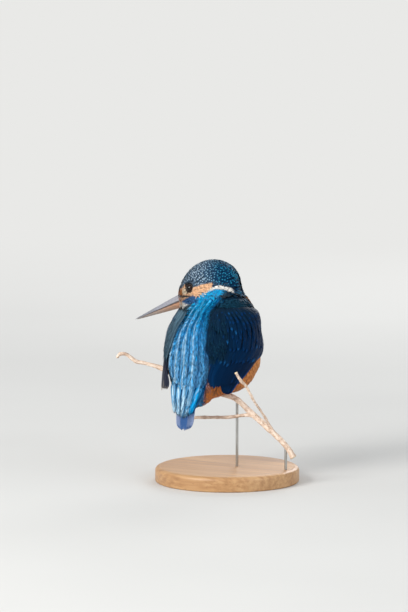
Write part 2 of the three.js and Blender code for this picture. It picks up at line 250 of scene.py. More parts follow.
def from_eye(points):
    """Distance from the nearer eye's middle, seen from the side; the head's midline counts as far off."""
    ahead, left, up = head_place(points)
    return np.hypot(ahead - EYE["ahead"], up - EYE["up"]) + 20 * (np.abs(left) < 4)


def ripples(points, length, seed):
    """A smooth uneven field, about -1 to 1: the mean of six sine waves of about this length in odd ways."""
    draw = np.random.default_rng(seed)
    ways = unit(draw.normal(size=(6, 3))) * 2 * math.pi / (length * draw.uniform(0.7, 1.5, (6, 1)))
    return np.sin(points @ ways.T + draw.uniform(0, 6.3, 6)).mean(-1) * 1.8


AZURE_BAND = np.array(
    [  # height, middle and half width of the azure band down the back
        [-30, -2.5, 8.0],
        [-12, -4.0, 10.5],
        [0, -4.6, 14.2],
        [8, -4.0, 16.2],
        [14, -3.2, 17.6],
        [28, -3.0, 15.2],
        [45, -3.8, 12.0],
        [52, -3.0, 9.2],
        [57, 0.0, 9.0],
        [64, 2.5, 10.0],
    ],
    float,
)


def azure_across(points):
    """Place across the azure back: 0 down its middle, 1 and -1 at its two edges."""
    heights, middles, halves = AZURE_BAND.T
    middle = np.interp(points[..., 2], heights, middles)
    return (points[..., 0] - middle) / np.interp(points[..., 2], heights, halves)


def azure_share(points):
    """1 on the azure band down the back, 0 elsewhere."""
    under = np.maximum(8 - points[..., 2], 0)
    behind = step(6, -4, points[..., 1] + 0.12 * np.maximum(points[..., 2] - 50, 0) + 0.9 * under)
    return behind * step(1.08, 0.9, np.abs(azure_across(points))) * step(64, 60.5, points[..., 2])


def ridges(points):
    """Height of the loose locks of the azure back, from 0 in a furrow to 1.

    It is a cosine across the back, with LOCKS of its waves from the middle to an edge, that sways on the
    way down and is lower where the locks fray.
    """
    z = points[..., 2]
    sway = 0.35 * np.sin(z / 9.0) + 0.2 * np.sin(z / 4.1 + 1) + 0.9 * ripples(points, 17, 5)
    height = 0.5 + 0.5 * np.cos(2 * math.pi * LOCKS * azure_across(points) + 0.6 + sway)
    return 0.5 + (height - 0.5) * (0.8 + 0.2 * ripples(points, 12, 6))


def streaks(points):
    """How pale the azure back is painted, from 0 in a furrow to 1 on a lock: painted highlight on the locks,
    painted shade in the furrows.

    It is the height of the locks with a finer cosine run through them, and duller towards the bird's right,
    the side in painted shade.
    """
    across = azure_across(points)
    fine = 0.5 + 0.5 * np.cos(2 * math.pi * STREAKS * across + 1.1 * np.sin(points[..., 2] / 6.0) + 2.0)
    return (0.62 * ridges(points) + 0.38 * fine) * (1 - 0.55 * step(0.2, 0.9, across))


def neck_height(points):
    """Height over a slanting plane that rises, as the foot of the neck does, to the bird's right."""
    return points[..., 2] - NECK_SLANT * points[..., 0]


def relief(points):
    """How far the plumage's surface stands over the plain form, in millimetres.

    The eye's socket is a round step in, cheek and brow are Gaussian swellings, the back has its locks and
    the rest soft tufts.
    """
    ahead, _, up = head_place(points)
    headed = step(54, 60, neck_height(points))
    socket = -1.5 * step(4.4, 2.4, from_eye(points)) * headed
    cheek = 0.5 * np.exp(-(((ahead + 1) / 7) ** 2) - ((up + 3) / 3.5) ** 2) * headed
    brow = 0.45 * np.exp(-(((ahead - 9) / 5) ** 2) - ((up - 6.2) / 1.8) ** 2) * headed
    back = (1.5 * ridges(points) - 0.9) * azure_share(points)
    tufts = 0.45 * ripples(points, 11, 3) * (1 - headed) * (1 - azure_share(points))
    return socket + cheek + brow + back + tufts


def on_level(points, height, rounds=2):
    """Points moved along the way out, by 0.9 of what they lack, to stand this high over the relief."""
    for _ in range(rounds):
        over, out = form(points)
        points = points - out * (over - height - relief(points))[..., None] * 0.9
    return points


def along_rays(start, ways, lumps=FORM):
    """Where rays from inside last leave the form: each comes in from afar by 0.72 of its height over it."""
    reach = np.full(ways.shape[:-1], 95.0)
    for _ in range(50):
        over, _ = form(start + ways * reach[..., None], lumps)
        reach = reach - np.maximum(over, 0) * 0.72
    return start + ways * reach[..., None]


def spread_ways(count, axis, side):
    """Even directions in a sphere: golden-angle turns round an axis, with equal steps of height."""
    rank = np.arange(count) + 0.5
    height = 1 - 2 * rank / count
    turn = rank * math.pi * (3 - math.sqrt(5))
    ring = np.sqrt(1 - height**2)
    other = np.cross(axis, side)
    flat = np.multiply.outer(ring * np.cos(turn), side) + np.multiply.outer(ring * np.sin(turn), other)
    return np.multiply.outer(height, axis) + flat


# ---------------------------------------------------------------- markings
def crown_edge(ahead):
    """Height of the crown's lower edge: a shallow arch behind the eye, a raised brow over and before it."""
    behind = -0.1 - 0.017 * (ahead - 2) ** 2
    brow = 3.9 - 0.14 * np.maximum(ahead - 11, 0)
    return behind + (brow - behind) * step(4.2, 7.5, ahead)


def stripe_curve(ahead):
    """Height of the middle of the white stripe from under the ear to the nape, and its half width."""
    height = -4.9 - 0.045 * np.minimum(ahead + 7, 0) ** 2 - 0.33 * np.maximum(ahead + 7, 0)
    slant = np.hypot(1, 0.09 * np.minimum(ahead + 7, 0))
    return height, slant * (0.3 + 0.5 * step(-2.5, -9, ahead)) * step(-19.6, -16.5, ahead)


def head_marks(points):
    """Colours of the head by place: main colour, colour of a feather's tip, and the share where it starts.

    Each patch is painted over the last: crown, ear, cheek stripes, white stripe, throat, lores, mask and
    ring.
    """
    ahead, left, up = head_place(points)
    side = np.abs(left)
    behind = step(1, -14, ahead + 0.7 * ripples(points, 5, 4))
    main = mixed(TINT["crown_front"], TINT["crown_back"], behind)
    tip = mixed(TINT["spot_front"], TINT["spot_back"], behind)
    start = 0.68 + 0.1 * behind
    aside = step(2.5, 5, side)
    below = step(0.25, -0.25, up - crown_edge(ahead)) * aside

    def paint(colour, tip_colour, share, tip_start=1.2):
        """Lays a patch over the marks so far, by a share for each point."""
        nonlocal main, tip, start
        main = mixed(main, colour, share)
        tip = mixed(tip, tip_colour, share)
        start = start + (tip_start - start) * share

    paint(TINT["ear"], TINT["ear_low"], below * step(-10.0, -8.8, ahead + 0.4 * up), 0.75)
    curve, half = stripe_curve(ahead)
    ear_edge = np.minimum(-6.2 + 0.055 * (ahead - 1.2) ** 2, -4.6)
    under_ear = step(0.3, -0.3, up - np.where(ahead > -3, ear_edge, curve)) * aside
    paint(TINT["malar"], TINT["malar_spot"], under_ear, 0.6)
    paint(TINT["cyan"], TINT["azure"], under_ear * step(3, -1, ahead), 0.6)
    paint(TINT["scapular"], TINT["crown_back"], under_ear * step(-12.5, -15.5, ahead), 0.7)
    stripe = step(0.35, -0.35, np.abs(up - curve) - half) * step(-0.5, -3, ahead) * step(3, 5, side)
    paint(TINT["stripe"], TINT["stripe"], stripe * (half > 0.2))
    chin = step(-6.5, -8, up) * step(5, 3, side) * step(-2, 2, ahead)
    throat = np.maximum(step(0.5, -0.5, up + 6.9 - 0.5 * (ahead - 15)), chin) * step(3, 6, ahead)
    paint(TINT["throat"], TINT["throat"], throat)

    def patch(centre_ahead, centre_up, length, height):
        """An ellipse on the side of the head, with a soft rim."""
        apart = ((ahead - centre_ahead) / length) ** 2 + ((up - centre_up) / height) ** 2
        return step(1.25, 0.8, apart) * aside

    paint(TINT["lore"], TINT["lore"], patch(18.3, 0.6, 3.2, 2.1))
    paint(TINT["pale_lore"], TINT["pale_lore"], patch(12.9, 0.2, 2.7, 1.9))
    line = step(0.75, 0.35, np.abs(up + 2.9 - 0.28 * (ahead - 12.8))) * step(6.5, 9, ahead) * aside
    paint(TINT["mask"], TINT["mask"], line)
    above_eye = step(-2.5, 0.5, up - EYE["up"] + 0.5 * (ahead - EYE["ahead"]))
    paint(TINT["mask"], TINT["crown_front"], step(4.3, 3.7, from_eye(points)) * above_eye, 0.8)
    return main, tip, start


def round_back(x, y):
    """Degrees round the trunk from the middle of its back."""
    return np.degrees(np.arctan2(np.abs(x - 1.5), WING_AXIS_Y - y))


def trunk_marks(points):
    """Colours of the trunk by place, as for the head.

    The belly turns darker below, behind and on the bird's right flank: painted shade over its orange.
    Over it come the mantle, by the angle round from the middle of the back, paler on the bird's left
    shoulder as painted light, a white bib, and the azure band, paler on its locks than in its furrows:
    painted highlight and painted shade.
    """
    x, y, z = np.moveaxis(points, -1, 0)
    # Painted shade: the belly turns to the darker vent colour low down, behind, and on the bird's right
    # flank, where shade falls.
    painted_shade = np.maximum(step(4, -8, z), step(4, -6, y) * step(24, 12, z))
    painted_shade = np.maximum(painted_shade, 0.5 * step(8, 26, x) * step(16, 6, y))
    main = mixed(TINT["belly"], TINT["vent"], painted_shade)
    tip = mixed(TINT["belly_edge"], TINT["belly"], painted_shade)
    start = np.full(x.shape, 0.62)
    mantle = step(122, 112, round_back(x, y) - 0.8 * (z - 50))
    shoulder = step(0.35, 0.65, mantle * step(14, 22, z))
    main = mixed(main, TINT["scapular"], shoulder)
    tip = mixed(tip, TINT["scapular_edge"], shoulder)
    # Painted light: the bird's left shoulder, on the lit side, is laid paler and greyer.
    wear_and_painted_light = shoulder * step(2, -4, x) * step(20, 34, z)
    main = mixed(main, TINT["shoulder"], 0.6 * wear_and_painted_light)
    bib = step(53, 56, neck_height(points)) * step(9, 5, np.abs(y - HEAD[1])) * step(-12, -17, x)
    main = mixed(main, TINT["throat"], bib)
    tip = mixed(tip, TINT["throat"], bib)
    share = step(0.3, 0.7, azure_share(points))
    crest = streaks(points)
    glow = mixed(TINT["cyan"], TINT["azure"], step(60, 38, z))
    glow = glow * (1 + 0.24 * ripples(points, 2.4, 12))[..., None]
    # Painted highlight and painted shade: the azure turns near white on the crests of the locks, most of all
    # high up, deep blue in the furrows, and its feather tips paler on the crests.
    glow = mixed(glow, TINT["painted_azure_highlight"], step(0.6, 0.9, crest) * step(68, 38, z))
    azure = mixed(TINT["azure_deep"], glow, step(0.1, 0.56, crest))
    main = mixed(main, azure, share)
    tip = mixed(tip, mixed(azure, TINT["painted_azure_highlight"], 0.45 * step(56, 15, z) * crest), share)
    start = start + (0.55 - start) * share
    return main, tip, start


def marks(points):
    """Colours anywhere on the bird: the head's above an uneven line through the neck, the trunk's below."""
    headed = step(-0.5, 0.5, points[..., 2] - neck_line(points) + 0.8 * ripples(points, 7, 9))
    shares = (headed[..., None], headed[..., None], headed)
    both = zip(trunk_marks(points), head_marks(points), shares)
    return [low + (high - low) * share for low, high, share in both]


def neck_line(points):
    """Height of the line where the head's plumage ends, lower in front than behind."""
    x, y, _ = np.moveaxis(points, -1, 0)
    return 55.0 + 0.36 * x + 4.5 * step(14, -4, y)


# ---------------------------------------------------------------- meshes
def to_part(points):
    """Millimetres from between the feet to metres in the part's frame."""
    return (np.asarray(points, float) + FEET) * MM


def new_mesh(name, points, faces, smooth=True):
    """A Blender mesh object from an array of points in millimetres and one of quads or triangles."""
    points = to_part(points).reshape(-1, 3)
    faces = np.asarray(faces, np.int32)
    sides = faces.shape[1]
    mesh = bpy.data.meshes.new(name)
    mesh.vertices.add(len(points))
    mesh.vertices.foreach_set("co", points.astype(np.float32).ravel())
    mesh.loops.add(faces.size)
    mesh.loops.foreach_set("vertex_index", faces.ravel())
    mesh.polygons.add(len(faces))
    mesh.polygons.foreach_set("loop_start", np.arange(0, faces.size, sides, dtype=np.int32))
    mesh.polygons.foreach_set("use_smooth", np.full(len(faces), smooth))
    mesh.update(calc_edges=True)
    mesh.validate()
    made = bpy.data.objects.new(name, mesh)
    bpy.context.scene.collection.objects.link(made)
    return made


def mesh_points(made):
    """An object's vertices in millimetres from between the feet."""
    flat = np.empty(len(made.data.vertices) * 3, np.float32)
    made.data.vertices.foreach_get("co", flat)
    return flat.reshape(-1, 3).astype(float) / MM - FEET


def move_points(made, points):
    """Puts an object's vertices at these points, in millimetres from between the feet."""
    made.data.vertices.foreach_set("co", to_part(points).astype(np.float32).ravel())
    made.data.update()


def point_colours(made, name, colours):
    """Stores a linear colour at each vertex."""
    layer = made.data.attributes.new(name, "FLOAT_COLOR", "POINT")
    full = np.ones((len(made.data.vertices), 4), np.float32)
    full[:, :3] = colours
    layer.data.foreach_set("color", full.ravel())


def point_values(made, name, values):
    """Stores a number at each vertex."""
    layer = made.data.attributes.new(name, "FLOAT", "POINT")
    layer.data.foreach_set("value", np.asarray(values, np.float32).ravel())


def uv_map(made, name, places):
    """A UV map from one place for each vertex."""
    corners = np.empty(len(made.data.loops), np.int32)
    made.data.loops.foreach_get("vertex_index", corners)
    layer = made.data.uv_layers.new(name=name)
    layer.data.foreach_set("uv", np.asarray(places, np.float32)[corners].ravel())


def with_modifiers(made, *settings):
    """The object with these modifiers applied to its mesh, in order: kind and values for each."""
    for kind, values in settings:
        modifier = made.modifiers.new(kind.title(), kind)
        for key, value in values.items():
            setattr(modifier, key, value)
    graph = bpy.context.evaluated_depsgraph_get()
    finished = bpy.data.meshes.new_from_object(made.evaluated_get(graph))
    made.modifiers.clear()
    old = made.data
    made.data = finished
    finished.name = made.name
    bpy.data.meshes.remove(old)
    return made


def joined(name, pieces):
    """One object from several plain ones."""
    whole = bmesh.new()
    for piece in pieces:
        whole.from_mesh(piece.data)
        bpy.data.objects.remove(piece)
    mesh = bpy.data.meshes.new(name)
    whole.to_mesh(mesh)
    whole.free()
    made = bpy.data.objects.new(name, mesh)
    bpy.context.scene.collection.objects.link(made)
    return made


def grid_faces(rows, columns, wrap=True):
    """Quads of a grid of points, facing as rows cross columns do; the columns may close into a ring."""
    index = np.arange(rows * columns).reshape(rows, columns)
    after = np.roll(index, -1, 1) if wrap else index[:, 1:]
    index = index if wrap else index[:, :-1]
    return np.stack([index[:-1], index[1:], after[1:], after[:-1]], -1).reshape(-1, 4)


def closed_grid(name, points):
    """A closed body from rings of points whose first and last rings are drawn in to a point.

    Its faces are turned over if its volume, the sum of each face's area times its middle, is negative.
    """
    rows, columns, _ = points.shape
    faces = grid_faces(rows, columns)
    corners = (points - points.mean((0, 1))).reshape(-1, 3)[faces]
    areas = np.cross(corners[:, 2] - corners[:, 0], corners[:, 3] - corners[:, 1])
    volume = (areas * corners.mean(1)).sum()
    made = new_mesh(name, points, faces if volume > 0 else faces[:, ::-1])
    return with_modifiers(made, ("WELD", {"merge_threshold": 1e-7}))


def smooth_table(shares, table):
    """A table read smoothly between its rows, 0 at the first and 1 at the last: a Catmull-Rom curve."""
    table = np.asarray(table, float)
    place = np.clip(shares, 0, 1) * (len(table) - 1)
    low = np.minimum(place.astype(int), len(table) - 2)
    share = (place - low)[..., None]
    padded = np.concatenate([2 * table[:1] - table[1:2], table, 2 * table[-1:] - table[-2:-1]])
    before, here, there, beyond = (padded[low + k] for k in range(4))
    bend = 2 * before - 5 * here + 4 * there - beyond
    twist = 3 * (here - there) + beyond - before
    return here + 0.5 * share * (there - before + share * (bend + share * twist))


def tube(name, route, sides, rings, shape=None):
    """A round bar with flat ends along a route of x, y, z and radius.

    Rings stand square to the smooth path, turned level by the axis that it runs along least. shape, if
    given, is a factor for each radius, worked out from the share along and the angle round.
    """
    share = np.concatenate([[0], np.linspace(0, 1, rings), [1]])
    path = smooth_table(share, route)
    middle = path[:, :3]
    tangent = unit((smooth_table(share + 0.01, route) - smooth_table(share - 0.01, route))[:, :3])
    first = unit(np.cross(tangent, LEVEL_AXES[np.argmin(np.abs(tangent).sum(0))]))
    second = np.cross(tangent, first)
    turn = np.linspace(0, 2 * math.pi, sides, endpoint=False)
    radius = path[:, 3:4] * (shape(share[:, None], turn[None, :]) if shape else np.ones((1, sides)))
    radius[0] = radius[-1] = 0
    points = (
        middle[:, None]
        + (radius * np.cos(turn))[..., None] * first[:, None]
        + (radius * np.sin(turn))[..., None] * second[:, None]
    )
    return closed_grid(name, points)


# ---------------------------------------------------------------- nodes and materials
def set_inputs(tree, node, inputs):
    """Fills a node's sockets by name or number, each with a node's output, a linear colour or a value."""
    for key, value in inputs.items():
        if isinstance(value, bpy.types.NodeSocket):
            tree.links.new(value, node.inputs[key])
        elif isinstance(value, np.ndarray):
            node.inputs[key].default_value = (*value, 1)
        else:
            node.inputs[key].default_value = value


def add_node(tree, kind, inputs, output=0, stops=(), **settings):
    """Adds one shader node with its settings, its inputs and a ramp's stops, and hands back one output."""
    node = tree.nodes.new("ShaderNode" + kind)
    for key, value in settings.items():
        setattr(node, key, value)
    while stops and len(node.color_ramp.elements) < len(stops):
        node.color_ramp.elements.new(0.5)
    for number, (place, colour) in enumerate(stops):
        node.color_ramp.elements[number].position = place
        node.color_ramp.elements[number].color = (*linear(colour), 1)
    set_inputs(tree, node, inputs)
    return node.outputs[output]


def new_material(name):
    """A new material, its node tree, and the Principled shader that it starts with."""
    material = bpy.data.materials.new(name)
    material.use_nodes = True
    tree = material.node_tree
    return material, tree, tree.nodes["Principled BSDF"]


def pattern_place(tree, scale=(1, 1, 1), turn=(0, 0, 0)):
    """The object's own coordinates, turned and scaled: a scale below 1 draws a pattern out that way."""
    place = add_node(tree, "TexCoord", {}, "Object")
    return add_node(tree, "Mapping", {"Vector": place, "Scale": scale, "Rotation": turn})


def plumage_material(name, roughness, specular, sheen, barb_depth, gloss=0xFFFFFF, shaft_dark=0.25):
    """Feather vane: a comb of barbs slanting from a darker shaft, its tip in its own colour.

    The barbs are a sine of BARB_TURN times the way along less 0.8 of the way across, both from the vane's
    UV map in millimetres, and they sway with a noise. Blue feathers mirror in the colour of their gloss.
    """
    material, tree, shader = new_material(name)
    place = add_node(tree, "UVMap", {}, uv_map="vane")
    aside = add_node(tree, "SeparateXYZ", {0: place})
    across = add_node(tree, "Math", {0: aside}, operation="ABSOLUTE")
    lean = add_node(tree, "Math", {0: across, 1: 0.8}, operation="MULTIPLY")
    slant = add_node(tree, "Math", {0: aside.node.outputs[1], 1: lean}, operation="SUBTRACT")
    wander = add_node(tree, "TexNoise", {"Vector": pattern_place(tree), "Scale": 900, "Detail": 2})
    sway = add_node(tree, "Math", {0: wander, 1: 5}, operation="MULTIPLY")
    comb = add_node(tree, "Math", {0: slant, 1: BARB_TURN, 2: sway}, operation="MULTIPLY_ADD")
    barbs = add_node(tree, "Math", {0: comb}, operation="SINE")
    main = add_node(tree, "Attribute", {}, "Color", attribute_name="tint")
    tip = add_node(tree, "Attribute", {}, "Color", attribute_name="tip")
    past = add_node(tree, "Attribute", {}, "Fac", attribute_name="past_start")
    uneven = add_node(tree, "Math", {0: wander, 1: 0.5}, operation="SUBTRACT")
    edge = add_node(tree, "Math", {0: uneven, 1: 0.25, 2: past}, operation="MULTIPLY_ADD")
    share = add_node(tree, "MapRange", {0: edge, 1: -0.05, 2: 0.1})
    colour = add_node(tree, "Mix", {0: share, 6: main, 7: tip}, 2, data_type="RGBA")
    shade = add_node(tree, "MapRange", {0: barbs, 1: -1.0, 2: 1.0, 3: 0.86, 4: 1.1})
    grain = add_node(tree, "CombineColor", {0: shade, 1: shade, 2: shade})
    combed = {0: 1.0, 6: colour, 7: grain}
    colour = add_node(tree, "Mix", combed, 2, data_type="RGBA", blend_type="MULTIPLY")
    shaft = add_node(tree, "MapRange", {0: across, 1: 0.05, 2: 0.12, 3: shaft_dark, 4: 0.0})
    relief_of_barbs = {"Height": barbs, "Strength": barb_depth, "Distance": 0.00008}
    set_inputs(tree, shader, {
        "Base Color": add_node(tree, "Mix", {0: shaft, 6: colour, 7: TINT["mask"]}, 2, data_type="RGBA"),
        "Roughness": roughness,
        "Specular IOR Level": specular,
        "Specular Tint": linear(gloss),
        "Sheen Weight": sheen,
        "Sheen Roughness": 0.4,
        "Normal": add_node(tree, "Bump", relief_of_barbs),
    })
    return material


def skin_material():
    """Bird skin under the plumage: dull, in the same markings, pimpled every 1.4 mm where feathers grow."""
    material, tree, shader = new_material("feathered_skin")
    main = add_node(tree, "Attribute", {}, "Color", attribute_name="tint")
    place = pattern_place(tree)
    cloud = add_node(tree, "TexNoise", {"Vector": place, "Scale": 300, "Detail": 3})
    shade = add_node(tree, "Math", {0: cloud, 1: 0.5}, operation="MULTIPLY")
    pimples = add_node(tree, "TexVoronoi", {"Vector": place, "Scale": 700}, "Distance")
    set_inputs(tree, shader, {
        "Base Color": add_node(tree, "Mix", {0: shade, 6: main, 7: TINT["mask"]}, 2, data_type="RGBA"),
        "Roughness": 0.8,
        "Normal": add_node(tree, "Bump", {"Height": pimples, "Strength": 0.3, "Distance": 0.0002}),
    })
    return material


# ---------------------------------------------------------------- vanes
def vane_faces(rows, columns):
    """Quads of one closed vane: a grid of points on top, its inner points again below, one shared rim."""
    top = np.arange(rows * columns).reshape(rows, columns)
    under = top.copy()
    inner = (rows - 2) * (columns - 2)
    under[1:-1, 1:-1] = rows * columns + np.arange(inner).reshape(rows - 2, columns - 2)

    def quads(grid):
        """Quads between a grid's neighbours."""
        return np.stack([grid[:-1, :-1], grid[1:, :-1], grid[1:, 1:], grid[:-1, 1:]], -1).reshape(-1, 4)

    return np.concatenate([quads(top), quads(under)[:, ::-1]])


def both_faces(values):
    """Values on a vane's grid, then again on its inner points, as its vertices run."""
    count = len(values)
    flat = values.reshape(count, -1, *values.shape[3:])
    inner = values[:, 1:-1, 1:-1].reshape(count, -1, *values.shape[3:])
    return np.concatenate([flat, inner], 1).reshape(-1, *values.shape[3:])


def vane_outline(rows, columns, blunt, fray, count):
    """Shares along and across each vane's grid.

    The half width swells as the square root of the share along and closes as the root of 1 - share^blunt.
    The rows lie closer towards the tip, which keeps a little width. Its barbs part: each column ends a
    random bit short, and the outer ones end sooner.
    """
    along = 1 - (1 - np.linspace(0, 1, rows)) ** 1.4
    across = np.linspace(-1, 1, columns)
    swell = np.minimum(1, 1.5 * np.sqrt(along + 0.04)) * np.sqrt(np.clip(1.04 - along**blunt, 0, 1))
    part = rng.uniform(-fray, 0, (count, columns))
    part[:, columns // 2] = 0
    length = along[None, :, None] * (1 + part[:, None, :] * along[None, :, None] ** 2)
    length = length - 0.5 / (blunt + 1) * (across**2)[None, None, :] * along[None, :, None]
    width = across[None, None, :] * swell[None, :, None]
    return length, np.broadcast_to(width, length.shape)


def coat_piece(name, top, down, thick, along, aside, run, colours, chart, material):
    """One mesh of many closed vanes.

    top is each vane's grid of points, down its way in and thick its depth. along is the share along it.
    aside and run are millimetres across and along it, and make the UV map vane. OFBake puts each vane in
    its own small patch at its root's place on the chart.
    """
    count, rows, columns, _ = top.shape
    main, tip, start = colours
    under = top + down * thick
    inner = under[:, 1:-1, 1:-1].reshape(count, -1, 3)
    points = np.concatenate([top.reshape(count, -1, 3), inner], 1)
    each = points.shape[1]
    faces = vane_faces(rows, columns)[None] + (np.arange(count) * each)[:, None, None]
    made = new_mesh(name, points.reshape(-1, 3), faces.reshape(-1, 4))
    grid = (count, rows, columns)
    point_colours(made, "tint", both_faces(np.broadcast_to(main, (*grid, 3))))
    point_colours(made, "tip", both_faces(np.broadcast_to(tip, (*grid, 3))))
    rim = (aside / np.abs(aside).max((1, 2), keepdims=True)) ** 2
    point_values(made, "past_start", both_faces(np.broadcast_to(along - start - 0.22 * rim, grid)))
    place = np.stack([np.broadcast_to(aside, grid), np.broadcast_to(run, grid)], -1)
    uv_map(made, "vane", both_faces(place))
    low = chart.min(0)
    spread = (chart - low) / np.maximum(chart.max(0) - low, 1e-6) * 0.96 + 0.02
    local = np.stack(np.meshgrid(np.linspace(-0.5, 0.5, columns), np.linspace(-0.5, 0.5, rows)), -1)
    uv_map(made, "OFBake", both_faces(spread[:, None, None] + BAKE_PATCH * local[None]))
    made.data.uv_layers["vane"].active = True
    made.data.materials.append(material)
    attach(made, "root")
    return made


def flow(points, out):
    """The lie of the feathers: back from the bill over the head, then down, and in to the tail.

    On the azure back they follow its own fan, the slope of its table, round the eyes they part, and all lie
    flat along the surface: what stands along the way out is taken off.
    """
    ahead, _, up = head_place(points)
    from_bill = unit(points - in_head(24.0, 0.0, -3.0))
    down = unit(np.array([0.0, -16.0, -34.0]) - points)
    headed = step(50, 62, neck_height(points))[..., None]
    way = from_bill * headed + down * (1 - headed)
    z = points[..., 2]
    heights, middles, halves = AZURE_BAND.T
    turn = (np.interp(z + 2, heights, middles) - np.interp(z - 2, heights, middles)) / 4
    slope = (np.interp(z + 2, heights, halves) - np.interp(z - 2, heights, halves)) / 4
    fan = unit(-np.stack([turn + slope * azure_across(points), np.zeros_like(z), np.ones_like(z)], -1))
    share = azure_share(points)[..., None]
    way = way * (1 - share) + fan * share
    beside = np.multiply.outer(ahead - EYE["ahead"], AHEAD) + np.multiply.outer(up - EYE["up"], CROWN)
    way = way + unit(beside) * (1.6 * step(5.5, 2.6, from_eye(points)))[..., None]
    way = way + 0.1 * np.stack([ripples(points, 6, seed) for seed in (11, 12, 13)], -1)
    return unit(way - out * (way * out).sum(-1, keepdims=True))


def vanes_on_form(
    name, roots, sizes, heights, grid, cut, material, slot,
    thick=0.08, wild=0.1, flowing=0.0, uneven=0.05, patchy=0.08,
):
    """Vanes rooted on the bird's form and laid along it, each rising from its root to its tip.

    Each vane starts flat beside its root, and every point of it is then drawn on to its own height over the
    form, which falls with the square of the share across. wild is how much their sizes and lie vary, and
    uneven how much their heights do, in millimetres. flowing is how much a vane's colours follow the
    markings along it, not at its root, and patchy how much they differ from one vane to the next.
    """
    rows, columns = grid
    blunt, fray = cut
    count = len(roots)
    length, width = (size * rng.uniform(1 - wild, 1 + wild, count) for size in sizes)
    low, high = heights
    _, out = form(roots)
    way = flow(roots, out)
    lean = rng.normal(0, wild * 0.8, count)[:, None]
    beside = np.cross(out, way)
    way = unit(way + beside * lean)
    beside = np.cross(out, way)
    along, across = vane_outline(rows, columns, blunt, fray, count)
    length, width, low, high = (values[:, None, None] for values in (length, width, low, high))
    run = along * length
    aside = across * width / 2
    flat = roots[:, None, None] + run[..., None] * way[:, None, None]
    flat = flat + aside[..., None] * beside[:, None, None]
    rise = low + (high - low) * along**0.8 - 0.1 * width * across**2
    rise = rise + rng.normal(0, uneven, count)[:, None, None]
    top = on_level(flat, rise)
    colours = [values[:, None, None] for values in marks(roots)]
    if flowing:
        here = marks(top)
        colours = [fixed + (value - fixed) * flowing for fixed, value in zip(colours, here)]
    shade = rng.normal(1, patchy, count)[:, None, None, None]
    colours = (colours[0] * shade, colours[1] * shade, colours[2])
    down = -out[:, None, None]
    chart = chart_of(roots)
    return coat_piece(name, top, down, thick, along, aside, run, colours, chart, material)


def chart_of(points):
    """Places on an unwrap of the form: longitude and height round the head's or the trunk's own middle."""
    middle = points.mean(0) * np.array([0.3, 0.3, 1]) + np.array([0, 4, 0])
    away = points - middle
    turn = np.arctan2(away[:, 0], -away[:, 1])
    centre = np.arctan2(np.sin(turn).mean(), np.cos(turn).mean())
    turn = (turn - centre + math.pi) % (2 * math.pi)
    return np.stack([turn, np.arcsin(unit(away)[:, 2])], -1)


# ---------------------------------------------------------------- wings
class WingChart:
    """A folded wing's surface: along from shoulder to tips and across from its back edge to its belly edge.

    Its height comes from a smooth table, and each point lies where a level ray from the trunk's own axis
    leaves the trunk, plus a little room, so that the sheet hugs the body. Below a set height it hangs
    straight down. The room closes towards the shoulder and the back edge, where the wing slips under the
    mantle. The chart runs on beyond its four edges by OVER of its length and width.
    """

    ROWS = 72
    COLUMNS = 40
    OVER = 0.12

    def __init__(self, side):
        """Works out the points and ways out of the left wing's sheet, side -1, or of the right one's, 1."""
        self.side = side
        reach = (-self.OVER, 1 + self.OVER)
        across, along = np.meshgrid(np.linspace(*reach, self.COLUMNS), np.linspace(*reach, self.ROWS))
        edges = smooth_table(along, WING_EDGES)
        if side < 0:
            tuck = WING_TUCK * step(0.75, 0.5, along)
            inner = edges[..., 1] + tuck - WING_FOLD * step(0.65, 0.85, along)
        else:
            inner = edges[..., 1] - WING_FOLD * step(0.45, 0.7, along)
        turn = np.radians(inner + (edges[..., 2] - inner) * across)
        ways = np.stack([side * np.sin(turn), -np.cos(turn), np.zeros_like(turn)], -1)
        starts = np.zeros_like(ways)
        starts[..., 1] = WING_AXIS_Y
        starts[..., 2] = np.maximum(edges[..., 0], WING_HANG)
        room = 0.9 + 0.6 * step(0.3, 0, along) + 2.3 * step(0.5, 1, along)
        room = room * (0.2 + 0.8 * step(-0.1, 0.22, across)) * (0.1 + 0.9 * step(0.0, 0.3, along))
        self.points = along_rays(starts, ways, BODY) + ways * room[..., None]
        beyond = np.maximum(along - 1, 0) * 40 + np.minimum(along, 0) * 30
        self.points[..., 2] = edges[..., 0] - beyond
        down = np.gradient(self.points, axis=0)
        over = np.gradient(self.points, axis=1)
        self.normals = unit(np.cross(over, down)) * side
        self.normals *= np.sign((self.normals * ways).sum(-1, keepdims=True))

    def cell(self, place, count):
        """The number of a grid's line before a place on the chart, and the share from there to the next."""
        line = (np.clip(place, -self.OVER, 1 + self.OVER) + self.OVER) / (1 + 2 * self.OVER) * (count - 1)
        before = np.minimum(line.astype(int), count - 2)
        return before, (line - before)[..., None]

    def read(self, table, along, across):
        """A table of the chart read in straight lines between its four nearest points."""
        row, down = self.cell(along, self.ROWS)
        column, over = self.cell(across, self.COLUMNS)
        upper = table[row, column] * (1 - over) + table[row, column + 1] * over
        lower = table[row + 1, column] * (1 - over) + table[row + 1, column + 1] * over
        return upper * (1 - down) + lower * down

    def at(self, along, across):
        """The sheet's points and its ways out at these places."""
        return self.read(self.points, along, across), unit(self.read(self.normals, along, across))

    @staticmethod
    def bulge(along, across):
        """How full the wing is, 1 at its middle and less at its rims."""
        inside = 4 * np.clip(across, 0.02, 0.98) * (1 - np.clip(across, 0.02, 0.98))
        ends = np.clip(3.2 * along + 0.1, 0.15, 1) * np.clip(2.6 * (1 - along) + 0.15, 0.15, 1)
        return np.sqrt(inside * ends)


